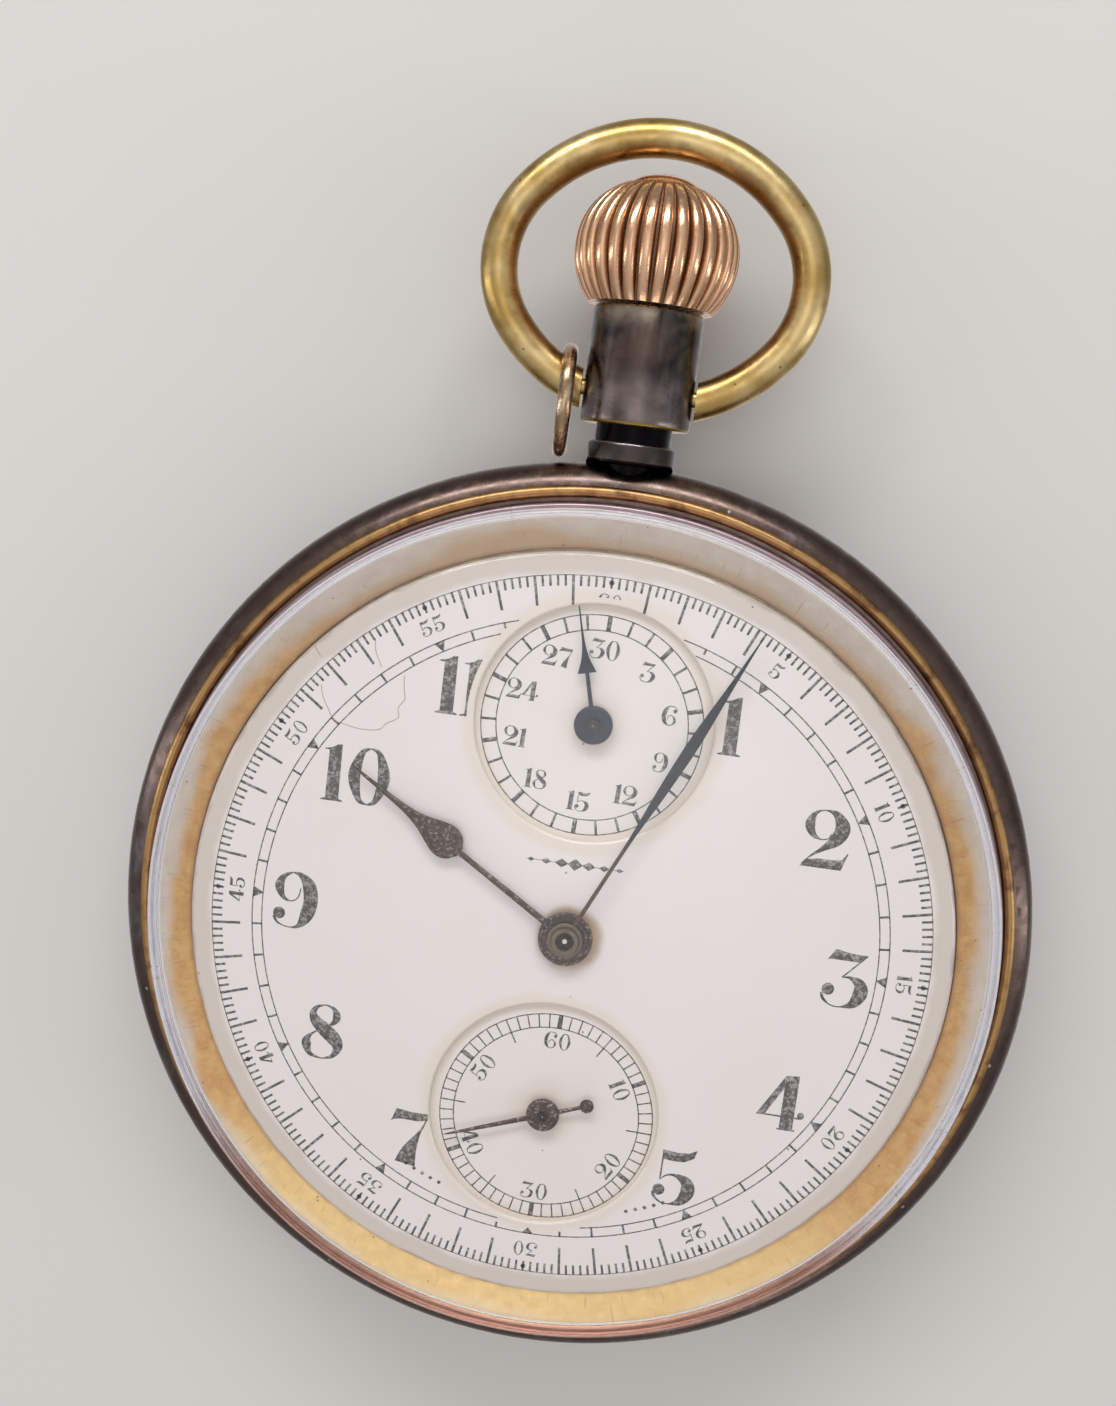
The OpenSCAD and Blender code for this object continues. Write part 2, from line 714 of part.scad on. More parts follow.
module balance_cock() {
    color("#d8cfae") difference() {
        union() {
            disc(COCK_FOOT, 1.55, 1.7, PLATE_Z - 1.55);
            bar(COCK_FOOT, BALANCE, 2.4, 1.55, 0.7);
            disc(BALANCE, 1.55, 1.6, 0.7);
        }
        disc(BALANCE, 1, JEWEL_R, 0.9);
        disc(BALANCE, 1, 0.3, 2);
        disc(COCK_FOOT, 1, BRIDGE_SCREW_R, 6);
        // step that the regulator turns in
        translate([0, 0, -0.01]) tube(BALANCE, 1.0, 3, 1.15, 0.9);
    }
}

module pallet_cock() {
    foot = [-8.6, -12.4];
    color("#d8cfae") difference() {
        union() {
            disc(foot, 4.6, 0.8, PLATE_Z - 4.6);
            bar(foot, PALLET, 1.3, 4.6, 0.45);
        }
        disc(PALLET, 4, 0.3, 2);
    }
}

module chronograph_bridges() {
    color("#d8cfae") {
        difference() {
            union() {
                disc([6.2, -2.6], 1.6, 1.1, BRIDGE_Z - 1.6);
                bar([6.2, -2.6], CENTRE, 1.5, 1.6, 0.4);
            }
            disc(CENTRE, 1, PIVOT_R + 0.03, 2);
        }
        difference() {
            union() {
                disc([5.4, 12.4], 1.6, 1.1, BRIDGE_Z - 1.6);
                bar([5.4, 12.4], RECORDER, 1.5, 1.6, 0.4);
            }
            disc(RECORDER, 1, PIVOT_R + 0.03, 2);
        }
    }
}

// ---------- barrel and winding work ----------

module barrel() {
    color("#d1ab5c") difference() {
        union() {
            disc(BARREL, 5.0, 6.9, 1.5);
            pinion(BARREL, 6.1, 0.5, barrel_teeth, BARREL_PITCH_R, bearing(BARREL, CENTRE));
        }
        disc(BARREL, 5.2, 6.4, 3);
        disc(BARREL, 4, 0.9 + CLEAR, 5);
    }
}

module barrel_cover() {
    color("#d1ab5c") tube(BARREL, 6.6, 6.6, 0.9 + CLEAR, 0.25);
}

module mainspring() {
    color("#5a6470") spiral(BARREL, 5.3, 1.2, 1.6, 5.9, 6, 0.3);
}

module barrel_arbor() {
    color("#8e9196") {
        disc(BARREL, 2.75, 0.9, 4.6);
        disc(BARREL, 5.3, 1.45, 1.2);
        screw(BARREL, 2.3, 1.5, 0.45, 0.4, 0.1);
    }
}

module ratchet_wheel() {
    color("#b9bcc0") difference() {
        pinion(BARREL, 2.75, 0.4, 52, RATCHET_R, mesh(BETWEEN_WHEEL, BARREL, BETWEEN_PHASE, 22, 52));
        disc(BARREL, 2, 0.9, 2);
    }
}

BETWEEN_PHASE = bearing(BETWEEN_WHEEL, CROWN_WHEEL) + 180 / 22;

module crown_wheel() {
    color("#b9bcc0") difference() {
        union() {
            pinion(CROWN_WHEEL, 2.75, 0.4, 20, CROWN_WHEEL_R, bearing(CROWN_WHEEL, BETWEEN_WHEEL));
            disc(CROWN_WHEEL, 2.75, 1.95, 1.5);
        }
        disc(CROWN_WHEEL, 3.15, 1.2, 2);
        for (i = [0 : 9]) at(CROWN_WHEEL, 3.9) rotate([0, 0, i * 18]) translate([-3, -0.15, 0]) cube([6, 0.3, 1]);
    }
}

module intermediate_wheel() {
    color("#b9bcc0") difference() {
        pinion(BETWEEN_WHEEL, 2.75, 0.4, 22, BETWEEN_R, BETWEEN_PHASE);
        disc(BETWEEN_WHEEL, 2, 0.6 + CLEAR, 2);
    }
}

CLICK_TIP = BARREL + polar(RATCHET_R + 0.64, bearing(BARREL, CLICK_PIVOT) + 14);

module click() {
    color("#9ea2a8") {
        bar(CLICK_PIVOT, CLICK_TIP, 0.7, 2.75, 0.4);
        disc(CLICK_PIVOT, 2.75, 0.8, 0.42);
        disc(CLICK_PIVOT, 3.17, 0.35 - CLEAR, 1.0);
    }
}

module click_spring() {
    color("#9ea2a8") bar([-15.6, 10.9], [-17.4, 7.6], 0.25, 2.8, 0.35);
    color("#9ea2a8") disc([-15.3, 11.5], 2.75, 0.7, BRIDGE_Z - 2.75);
}

// ---------- going train and escapement ----------

module centre_wheel() {
    color("#c9a04e") difference() {
        union() {
            spoked_wheel(CENTRE, 4.5, 0.2, 80, CENTRE_WHEEL_R, bearing(CENTRE, THIRD), 5, 1.0);
            disc(CENTRE, 3.5, 0.5, 9.9 - 3.5);
            pinion(CENTRE, 6.0, 0.7, CENTRE_PINION_TEETH, CENTRE_PINION_R, bearing(CENTRE, BARREL) + 15);
        }
        disc(CENTRE, 2, 0.3, 9);
    }
}

module third_wheel() {
    color("#c9a04e") {
        spoked_wheel(THIRD, 5.35, 0.2, 75, THIRD_WHEEL_R, bearing(THIRD, FOURTH), 5, 0.8);
        pinion(THIRD, 4.42, 0.45, 10, THIRD_PINION_R, bearing(THIRD, CENTRE) + 18);
        disc(THIRD, 4.42, 0.35, 1.3);
        disc(THIRD, 3.65, PIVOT_R, 2.4);
    }
}

module fourth_wheel() {
    color("#c9a04e") {
        spoked_wheel(FOURTH, 4.9, 0.2, 70, FOURTH_WHEEL_R, bearing(FOURTH, ESCAPE), 5, 0.8);
        pinion(FOURTH, 5.2, 0.5, 10, FOURTH_PINION_R, bearing(FOURTH, THIRD) + 18);
        disc(FOURTH, 2.2, ARBOR_R, 9.56 - 2.2);
        spoked_wheel(FOURTH, WORK_Z, 0.15, 90, DRIVER_R, bearing(FOURTH, COUPLING), 3, 0.8);
    }
}

module escape_wheel() {
    turn = bearing(ESCAPE, FOURTH);
    color("#b9bcc0") {
        pinion(ESCAPE, 4.7, 0.5, 7, ESCAPE_PINION_R, turn + 180 / 7);
        disc(ESCAPE, 4.7, 0.2, 0.95);
        disc(ESCAPE, 3.65, PIVOT_R, 2.4);
        at(ESCAPE, 5.4) linear_extrude(0.18) {
            difference() {
                polygon([for (i = [0 : 14], p = [[0, 1.75], [5, ESCAPE_R], [8, ESCAPE_R], [10, 1.75]])
                    polar(p[1], i * 24 + p[0])]);
                circle(1.4);
            }
            circle(0.5);
            for (i = [0 : 3]) rotate(i * 90) translate([0, -0.15]) square([1.6, 0.3]);
        }
    }
}

module pallet_fork() {
    line = bearing(PALLET, BALANCE);
    color("#b9bcc0") {
        at(PALLET, 5.25) rotate([0, 0, line]) linear_extrude(0.15) {
            translate([0, -0.2]) square([3.1, 0.4]);
            circle(0.45);
            for (side = [-1, 1]) {
                translate([3.0, side * 0.38 - 0.12]) square([0.5, 0.24]);
                rotate(side * 98) translate([0, -0.2]) square([1.9, 0.4]);
            }
            translate([2.9, -0.5]) square([0.2, 1.0]);
        }
        disc(PALLET, 4.62, 0.12, 1.6);
    }
    color("#b23a4e") at(PALLET, 5.28) rotate([0, 0, line]) for (side = [-1, 1])
        translate([-0.55, side * 1.75 - 0.12, 0.12]) cube([0.55, 0.24, 0.2]);
}

module balance_wheel() {
    color("#c9a04e") {
        tube(BALANCE, 3.0, BALANCE_R, BALANCE_R - 0.45, 0.45);
        for (a = [20, 200]) at(BALANCE, 3.1) rotate([0, 0, a]) translate([0, -0.25, 0]) cube([BALANCE_R - 0.3, 0.5, 0.2]);
        for (i = [0 : 11]) at(BALANCE, 3.22) rotate([0, 0, i * 30 + 5]) rotate([0, 90, 0])
            translate([0, 0, BALANCE_R - 0.05]) cylinder(r = 0.15, h = 0.3, $fn = 24);
        disc(BALANCE, 2.35, 0.3, 3.3);
        disc(BALANCE, 1.8, PIVOT_R, 4.3);
        disc(BALANCE, 4.85, 0.85, 0.2);
        disc(BALANCE + polar(0.6, bearing(BALANCE, PALLET)), 5.05, 0.13, 0.4);
    }
}

module hairspring() {
    color("#46525f") spiral(BALANCE, 2.5, 0.18, 0.42, 2.75, 8, 0.06);
    color("#46525f") disc(BALANCE + [0, 2.85], 2.25, 0.2, 0.45);
}

module regulator() {
    color("#b9bcc0") {
        tube(BALANCE, 1.45, 1.9, 1.15 + CLEAR, 0.4);
        bar(BALANCE + polar(1.6, -118), BALANCE + polar(4.6, -118), 0.4, 1.45, 0.3);
    }
}

// ---------- chronograph work ----------

module heart(place, z, h, size, turn) {
    at(place, z) rotate([0, 0, turn]) linear_extrude(h) {
        translate([0.3 * size, 0.3 * size]) circle(0.7 * size);
        translate([0.3 * size, -0.3 * size]) circle(0.7 * size);
        polygon([[0.9 * size, 0.6 * size], [-0.95 * size, 0], [0.9 * size, -0.6 * size]]);
    }
}

module chronograph_runner() {
    color("#c9a04e") {
        spoked_wheel(CENTRE, WORK_Z, 0.15, 100, RUNNER_R, 0, 4, 0.9);
        heart(CENTRE, 2.1, 0.35, 1.1, 60);
        disc(CENTRE, 2.1, 0.25, RUNNER_TOP_Z - 2.1);
        disc(CENTRE, 1.6, PIVOT_R, 1);
        // finger that trips the recorder once a turn
        bar(CENTRE, polar(4.7, 128), 0.2, WORK_Z + 0.15, 0.07);
    }
}

module minute_recorder() {
    color("#c9a04e") {
        spoked_wheel(RECORDER, WORK_Z, 0.15, 30, RECORDER_R, 0, 3, 0.9);
        heart(RECORDER, 2.1, 0.35, 1.0, 75);
        disc(RECORDER, 2.1, ARBOR_R, 9.56 - 2.1);
        disc(RECORDER, 1.6, PIVOT_R, 1);
    }
}

module column_wheel() {
    color("#b9bcc0") {
        pinion(COLUMN, 2.8, 0.3, 12, 2.0, 0);
        disc(COLUMN, 2.3, 1.5, 0.5);
        for (i = [0 : 5]) at(COLUMN, 1.6) rotate([0, 0, i * 60]) intersection() {
            cylinder(r = 1.5, h = 0.7);
            translate([0.75, -0.35, 0]) cube([1, 0.7, 0.7]);
        }
        disc(COLUMN, 3.1, 0.35 - CLEAR, 1.0);
        screw(COLUMN, 1.75, 0.6, 0.35, 0.3, 0.2);
    }
}

module operating_lever() {
    color("#a9adb3") {
        bar(OPERATING_PIVOT, [0, 14.5], 0.8, 4.9, 0.35);
        disc([0, ROD_END_Y - 0.45], 5.2, 0.4, 1.2);
        bar(OPERATING_PIVOT, [14.3, 11.6], 0.9, 4.9, 0.35);
        disc(OPERATING_PIVOT, 4.6, 0.3, 1.2);
    }
}

module coupling_lever() {
    color("#a9adb3") difference() {
        union() {
            bar(LEVER_PIVOT, COUPLING, 0.9, 2.8, 0.3);
            bar(LEVER_PIVOT, [12.2, -7.0], 0.9, 2.8, 0.3);
            bar([12.2, -7.0], [12.2, 4.6], 0.9, 2.8, 0.3);
            disc(COUPLING, 2.75, 0.55, 0.4);
            disc(LEVER_PIVOT, 2.6, 0.9, 0.5);
            disc(LEVER_PIVOT, 3, 0.35 - CLEAR, 1.1);
        }
        disc(COUPLING, 2, 0.2, 2);
    }
}

module coupling_wheel() {
    color("#c9a04e") {
        pinion(COUPLING, WORK_Z, 0.15, 24, COUPLING_R, bearing(COUPLING, FOURTH) + 7.5);
        disc(COUPLING, 2.4, 0.2 - 0.03, 0.72);
    }
}

module reset_hammer() {
    color("#a9adb3") {
        bar(HAMMER_PIVOT, [4.6, 4.3], 0.8, 2.1, 0.3);
        bar([4.6, 4.3], [3.0, 2.2], 0.8, 2.1, 0.3);
        bar([4.6, 4.3], [3.6, 8.6], 0.8, 2.1, 0.3);
        bar([3.6, 8.6], [2.6, 9.9], 0.8, 2.1, 0.3);
        disc(HAMMER_PIVOT, 2.1, 0.9, 1.05);
        disc(HAMMER_PIVOT, 3.15, 0.35 - CLEAR, 0.95);
    }
}

// ---------- jewels and screws ----------

module jewel(place, z, h) {
    tube(place, z, JEWEL_R, PIVOT_R + 0.03, h);
}

module jewels() {
    color("#b23a4e") {
        for (p = [THIRD, ESCAPE, PALLET, BALANCE]) jewel(p, 6.0, 0.5);
        for (p = [THIRD, ESCAPE]) jewel(p, BRIDGE_Z, 0.4);
        jewel(BALANCE, 1.55, 0.35);
    }
}

module bridge_screws() {
    color("#33415c") {
        for (p = BARREL_FEET) screw(p, 2.75, 0.8, 0.45, BRIDGE_SCREW_R, 2.6);
        for (p = TRAIN_FEET) screw(p, 2.75, 0.8, 0.45, BRIDGE_SCREW_R, 2.6);
        screw(COCK_FOOT, 1.2, 0.8, 0.35, BRIDGE_SCREW_R, 4.2);
    }
}

module case_screws() {
    color("#33415c") for (a = [40, 215]) {
        screw(polar(20.7, a), 5.0, 1.0, 0.6, 0.2, 0.1);
    }
}

case_middle();
rim_bead();
pendant_neck();
pendant();
case_back();
hinge_pin();
bezel();
crystal();
bow();
jump_ring();
crown();
winding_stem();
crown_button();
setting_slide();
winding_pinion();
clutch_pinion();
dial();
register_dial();
seconds_dial();
dial_feet();
hour_hand();
minute_hand();
register_hand();
seconds_hand();
hour_wheel();
minute_wheel();
cannon_pinion();
mainplate();
barrel_bridge();
train_bridge();
balance_cock();
pallet_cock();
chronograph_bridges();
barrel();
barrel_cover();
mainspring();
barrel_arbor();
ratchet_wheel();
crown_wheel();
intermediate_wheel();
click();
click_spring();
centre_wheel();
third_wheel();
fourth_wheel();
escape_wheel();
pallet_fork();
balance_wheel();
hairspring();
regulator();
chronograph_runner();
minute_recorder();
column_wheel();
operating_lever();
coupling_lever();
coupling_wheel();
reset_hammer();
jewels();
bridge_screws();
case_screws();
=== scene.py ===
"""An open-face pocket chronograph lying dial up on a pale floor.

Sizes are in millimetres and become metres where a mesh is made. +Y points to 12 o'clock, +Z out of the dial.
"""

import json
from math import acos, asin, atan2, cos, hypot, pi, radians, sin, sqrt

import bmesh
import bpy
from mathutils import Matrix, Vector, geometry

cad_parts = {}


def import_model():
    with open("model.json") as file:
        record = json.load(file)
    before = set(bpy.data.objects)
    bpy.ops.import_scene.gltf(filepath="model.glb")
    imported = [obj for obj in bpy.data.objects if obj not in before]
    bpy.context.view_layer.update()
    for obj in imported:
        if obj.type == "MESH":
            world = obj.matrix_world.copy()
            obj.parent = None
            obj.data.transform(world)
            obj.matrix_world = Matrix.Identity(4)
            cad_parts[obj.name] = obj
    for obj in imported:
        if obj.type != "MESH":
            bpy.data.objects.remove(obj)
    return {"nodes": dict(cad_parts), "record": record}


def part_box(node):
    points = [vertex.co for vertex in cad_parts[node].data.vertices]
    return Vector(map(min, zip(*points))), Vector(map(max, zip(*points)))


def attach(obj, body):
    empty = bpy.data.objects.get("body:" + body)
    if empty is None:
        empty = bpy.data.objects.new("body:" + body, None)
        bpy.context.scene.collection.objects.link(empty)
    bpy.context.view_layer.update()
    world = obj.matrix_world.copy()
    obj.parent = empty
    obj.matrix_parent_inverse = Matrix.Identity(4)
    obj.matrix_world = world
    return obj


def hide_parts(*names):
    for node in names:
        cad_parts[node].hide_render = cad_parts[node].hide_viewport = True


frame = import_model()
bpy.context.view_layer.update()
scene = bpy.context.scene

# ---------- driving sizes ----------

MM = 0.001


def span(node):
    """Lowest and highest corner of a CAD node at rest, in millimetres."""
    low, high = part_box(node)
    return low / MM, high / MM


def ends(node, axis):
    """Where a CAD node starts and stops along an axis at rest, in millimetres."""
    return tuple(corner[axis] for corner in span(node))


X, Y, Z = range(3)
STEM_Z = sum(ends("pendant", Z)) / 2
DIAL_FOOT_Z, DIAL_Z = ends("dial", Z)
SUNK_Z = ends("register_dial", Z)[1]
REGISTER = Vector((0, sum(ends("register_dial", Y)) / 2))
SECONDS = Vector((0, sum(ends("seconds_dial", Y)) / 2))
SUNK_R = {name: ends(name + "_dial", X)[1] for name in ("register", "seconds")}
BEZEL_R = ends("bezel", X)[1]
CRYSTAL_TOP_Z = ends("crystal", Z)[1]
CROWN_R = ends("crown", Z)[1] - STEM_Z
CROWN_Y = ends("crown", Y)
BORE_R = 0.85
PENDANT_R = ends("pendant", X)[1]
PENDANT_Y = ends("pendant", Y)
BAND_R = ends("case_middle", X)[1]
COLLAR_TOP_Y = 27.1
DIAL_R = ends("dial", X)[1]
BEZEL_INNER_R = DIAL_R + 0.1
HOUR_HAND_Z = ends("hour_hand", Z)
MINUTE_HAND_Z = ends("minute_hand", Z)
RIBS = 30
BOW_WIRE_R = (ends("bow", Z)[1] - ends("bow", Z)[0]) / 2
BOW_HALF_W = ends("bow", X)[1] - BOW_WIRE_R
BOW_HALF_H = 7.0
PIVOT_Y = 29.85
BOW_CENTRE_Y = ends("bow", Y)[1] - BOW_WIRE_R - BOW_HALF_H
RING_CENTRE = sum(span("jump_ring"), Vector()) / 2
RING_WIRE_R = 0.4
RING_R = (ends("jump_ring", Y)[1] - ends("jump_ring", Y)[0]) / 2 - RING_WIRE_R


# ---------- mesh helpers ----------


class Shape:
    """Vertices and faces of one piece, in millimetres."""

    def __init__(self):
        self.verts = []
        self.faces = []

    def rings(self, rings, loop=False, caps=False):
        """Skins equal rings of points. loop joins the last to the first, caps closes the ends."""
        size, base, count = len(rings[0]), len(self.verts), len(rings)
        for ring in rings:
            self.verts.extend(ring)
        for i in range(count if loop else count - 1):
            a, b = base + i * size, base + (i + 1) % count * size
            for k in range(size):
                m = (k + 1) % size
                self.faces.append((a + k, a + m, b + m, b + k))
        if caps:
            self.faces.append(tuple(base + k for k in reversed(range(size))))
            self.faces.append(tuple(base + (count - 1) * size + k for k in range(size)))
        return self

    def add(self, verts, faces):
        """Adds points, and faces that count from the first of them."""
        base = len(self.verts)
        self.verts.extend(verts)
        self.faces.extend(tuple(base + i for i in face) for face in faces)
        return self

    def flat(self, verts, faces, z):
        """Adds flat faces at height z."""
        return self.add([(x, y, z) for x, y in verts], faces)

    def mesh(self, name):
        made = bpy.data.meshes.new(name)
        made.from_pydata([Vector(v) * MM for v in self.verts], [], self.faces)
        return made


def upright(place=(0, 0)):
    """A lathe's axis along Z."""
    return lambda r, turn, h: (place[0] + r * cos(turn), place[1] + r * sin(turn), h)


def on_stem(r, turn, h):
    """A lathe's axis along the winding stem."""
    return r * cos(turn), h, STEM_Z + r * sin(turn)


def lathe(profile, axis=None, steps=256, closed=True, shape=None):
    """Turns a profile of (radius, height) points. An open profile starts and ends on the axis."""
    axis = axis or upright()
    rings = [[axis(r, 2 * pi * k / steps, h) for k in range(steps)] for r, h in profile]
    return (shape or Shape()).rings(rings, loop=closed)


def arc(cx, cy, r, start, stop, steps=10):
    """Points of an arc, with angles in degrees."""
    angles = [radians(start + (stop - start) * i / steps) for i in range(steps + 1)]
    return [(cx + r * cos(a), cy + r * sin(a)) for a in angles]


def rounded(points, radius, steps=4):
    """A profile with its corners rounded by a curve that starts radius away from each corner."""
    out = []
    for before, at, after in zip(points[-1:] + points[:-1], points, points[1:] + points[:1]):
        a, b, c = Vector(before), Vector(at), Vector(after)
        cut = min(radius, (a - b).length / 2, (c - b).length / 2)
        p, q = b + (a - b).normalized() * cut, b + (c - b).normalized() * cut
        for i in range(steps + 1):
            t = i / steps
            out.append(tuple(p * (1 - t) ** 2 + b * 2 * t * (1 - t) + q * t**2))
    return out


def sweep(path, radii, side, sides=32, closed=False):
    """A round bar along a path. side is the direction square to the path's plane."""
    rings = []
    count = len(path)
    for i, (point, radius) in enumerate(zip(path, radii)):
        before = path[(i - 1) % count] if closed else path[max(i - 1, 0)]
        after = path[(i + 1) % count] if closed else path[min(i + 1, count - 1)]
        out = (after - before).normalized().cross(side)
        rings.append([point + (out * cos(a) + side * sin(a)) * radius
                      for a in (2 * pi * k / sides for k in range(sides))])
    return Shape().rings(rings, loop=closed, caps=not closed)


def placed(name, data):
    """A new object of the scene."""
    made = bpy.data.objects.new(name, data)
    scene.collection.objects.link(made)
    return made


def piece(name, shape, look, body, replaces=(), sharp=35, merge=1e-7):
    """Makes an object from a shape, gives it its material and lets it ride on a CAD body."""
    mesh = shape.mesh(name)
    bm = bmesh.new()
    bm.from_mesh(mesh)
    bmesh.ops.remove_doubles(bm, verts=bm.verts, dist=merge)
    bmesh.ops.recalc_face_normals(bm, faces=bm.faces)
    bm.to_mesh(mesh)
    bm.free()
    mesh.materials.append(look)
    mesh.shade_smooth()
    mesh.set_sharp_from_angle(angle=radians(sharp))
    made = placed(name, mesh)
    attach(made, body)
    if replaces:
        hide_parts(*replaces)
    return made


def smooth_curve(points, steps):
    """A Catmull-Rom curve through points of any number of values."""
    out = []
    padded = [points[0], *points, points[-1]]
    for a, b, c, d in zip(padded, padded[1:], padded[2:], padded[3:]):
        for i in range(steps):
            t = i / steps
            out.append(tuple(
                0.5 * (2 * q + (r - p) * t + (2 * p - 5 * q + 4 * r - s) * t**2
                       + (3 * q - p - 3 * r + s) * t**3)
                for p, q, r, s in zip(a, b, c, d)))
    return out + [tuple(points[-1])]


# ---------- material helpers ----------


def linear(*rgb):
    """A colour given as 0 to 255 screen values, in linear light."""
    return tuple((v / 255 / 12.92) if v <= 10 else ((v / 255 + 0.055) / 1.055) ** 2.4 for v in rgb) + (1.0,)


class Look:
    """A node material built from a few short calls.

    Its coordinates are millimetres in the shared frame. Colours are tuples of 0 to 255 screen values.
    """

    def __init__(self, name, **settings):
        self.material = bpy.data.materials.new(name)
        self.material.use_nodes = True
        self.nodes = self.material.node_tree.nodes
        self.links = self.material.node_tree.links
        self.nodes.clear()
        self.output = self.make("OutputMaterial")
        self.shader = self.make("BsdfPrincipled")
        self.links.new(self.shader.outputs[0], self.output.inputs[0])
        for key, value in settings.items():
            self.shader.inputs[key.replace("_", " ").title().replace("Ior", "IOR")].default_value = value
        self.mm = self.vector("MULTIPLY", self.make("TexCoord").outputs["Object"], (1 / MM,) * 3)

    def put(self, socket, value):
        """Feeds a socket from a node's output or sets its value."""
        if isinstance(value, bpy.types.NodeSocket):
            self.links.new(value, socket)
        elif socket.type == "RGBA":
            socket.default_value = linear(*value)
        else:
            socket.default_value = value

    def make(self, kind, feed=(), **settings):
        """A new node. feed pairs its sockets' names or numbers with what goes into them."""
        node = self.nodes.new("ShaderNode" + kind)
        for key, value in settings.items():
            setattr(node, key, value)
        for key, value in dict(feed).items():
            self.put(node.inputs[key], value)
        return node

    def vector(self, operation, a, b=(0, 0, 0)):
        node = self.make("VectorMath", enumerate((a, b)), operation=operation)
        return node.outputs[1 if operation in ("LENGTH", "DISTANCE") else 0]

    def math(self, operation, a, b=0.0):
        return self.make("Math", enumerate((a, b)), operation=operation).outputs[0]

    def times(self, a, b):
        return self.math("MULTIPLY", a, b)

    def plus(self, a, b):
        return self.math("ADD", a, b)

    def noise(self, scale, detail=4.0, roughness=0.55, distortion=0.0, at=None, stretch=None):
        """Noise with about scale features a millimetre."""
        where = at or self.mm
        if stretch:
            where = self.vector("MULTIPLY", where, stretch)
        feed = {"Vector": where, "Scale": scale, "Detail": detail, "Roughness": roughness,
                "Distortion": distortion}
        return self.make("TexNoise", feed).outputs["Fac"]

    def specks(self, scale, size):
        """1 in small round spots, 0 elsewhere."""
        node = self.make("TexVoronoi", {"Vector": self.mm, "Scale": scale})
        return self.step(node.outputs["Distance"], size * 0.6, size, 1.0, 0.0)

    def step(self, value, low, high, to_low=0.0, to_high=1.0):
        """Ramps smoothly from to_low to to_high as value goes from low to high."""
        feed = {"Value": value, "From Min": low, "From Max": high, "To Min": to_low, "To Max": to_high}
        return self.make("MapRange", feed, interpolation_type="SMOOTHSTEP").outputs[0]

    def mix(self, share, a, b):
        return self.make("Mix", {"Factor": share, 6: a, 7: b}, data_type="RGBA").outputs[2]

    def over(self, colour, tint, share, strength):
        """Lays a tint over a colour."""
        return self.mix(self.times(share, strength), colour, tint)

    def radius(self, centre=(0, 0)):
        """Distance from an upright axis."""
        return self.vector("DISTANCE", self.vector("MULTIPLY", self.mm, (1, 1, 0)), (centre[0], centre[1], 0))

    def axis(self, index, of=None):
        return self.make("SeparateXYZ", {0: of or self.mm}).outputs[index]

    def around(self):
        """Coordinates that follow a circle: angle times 20 mm, radius, height."""
        angle = self.times(self.math("ARCTAN2", self.axis(1), self.axis(0)), 20.0)
        return self.make("CombineXYZ", enumerate((angle, self.radius(), self.axis(2)))).outputs[0]

    def bump(self, height, strength, distance):
        """Sets the surface relief: distance is its depth in millimetres."""
        feed = {"Strength": strength, "Distance": distance * MM, "Height": height}
        self.put(self.shader.inputs["Normal"], self.make("Bump", feed).outputs[0])

    def set(self, **inputs):
        for key, value in inputs.items():
            self.put(self.shader.inputs[key.replace("_", " ").title()], value)

    def uneven(self, rough, grain):
        """A roughness that varies within a range with a noise."""
        return self.step(self.noise(*grain), 0.3, 0.7, *rough)

    def finish(self, colour, rough, grain, relief, strength, depth=0.02):
        """Sets the colour, an uneven roughness and a noisy relief."""
        self.set(base_color=colour, roughness=self.uneven(rough, grain))
        self.bump(self.noise(*relief), strength, depth)
        return self.material

    def blend(self, share, first, second):
        """Shows the first shader where share is 0 and the second where it is 1."""
        self.put(self.output.inputs[0], self.make("MixShader", enumerate((share, first, second))).outputs[0])


# ---------- materials ----------


def gunmetal():
    """Blued and browned steel, rubbed grey on its high spots."""
    look = Look("gunmetal", metallic=1.0)
    brown = look.mix(look.noise(0.18, 5.0, 0.55, 0.5), (80, 66, 62), (116, 96, 86))
    rubbed = look.step(look.noise(0.5, 7.0, 0.66, 0.4, stretch=(1.0, 0.4, 1.0)), 0.5, 0.74)
    colour = look.over(brown, (160, 152, 160), rubbed, 0.35)
    colour = look.mix(look.specks(0.5, 0.06), colour, (196, 184, 168))
    return look.finish(colour, (0.2, 0.34), (1.4, 6.0), (3.0, 8.0, 0.65), 0.18)


def pendant_steel():
    """The pendant's dark steel, with pale streaks along the stem as painted sheen, pale patches at both ends
    as painted reflections, and brassy at its very foot.
    """
    look = Look("pendant_steel", metallic=1.0)
    height = look.axis(1)
    low, high = PENDANT_Y
    tone = look.mix(look.step(look.noise(0.4, 3.0, 0.45), 0.35, 0.65), (52, 48, 48), (92, 76, 70))
    # pale streaks along the stem: painted sheen
    sheen_streaks = look.step(look.noise(0.4, 3.0, 0.45, 0.3, stretch=(2.2, 0.35, 2.2)), 0.42, 0.64)
    tone = look.over(tone, (140, 132, 126), sheen_streaks, 0.3)
    # a pale patch towards the foot: painted reflection
    rubbed = look.times(look.step(height, low + 3.4, low + 1.4), look.step(look.noise(0.35, 3.0), 0.3, 0.6))
    tone = look.over(tone, (150, 136, 132), rubbed, 0.6)
    # a pale patch at the top: painted reflection
    top = look.times(look.step(height, high - 1.5, high - 0.2), look.step(look.noise(0.5, 5.0), 0.35, 0.6))
    tone = look.over(tone, (176, 160, 140), top, 0.7)
    tone = look.over(tone, (168, 138, 58), look.step(height, low + 0.2, low + 0.1), 0.9)
    return look.finish(tone, (0.2, 0.36), (1.6, 6.0), (3.0, 8.0, 0.65), 0.2)


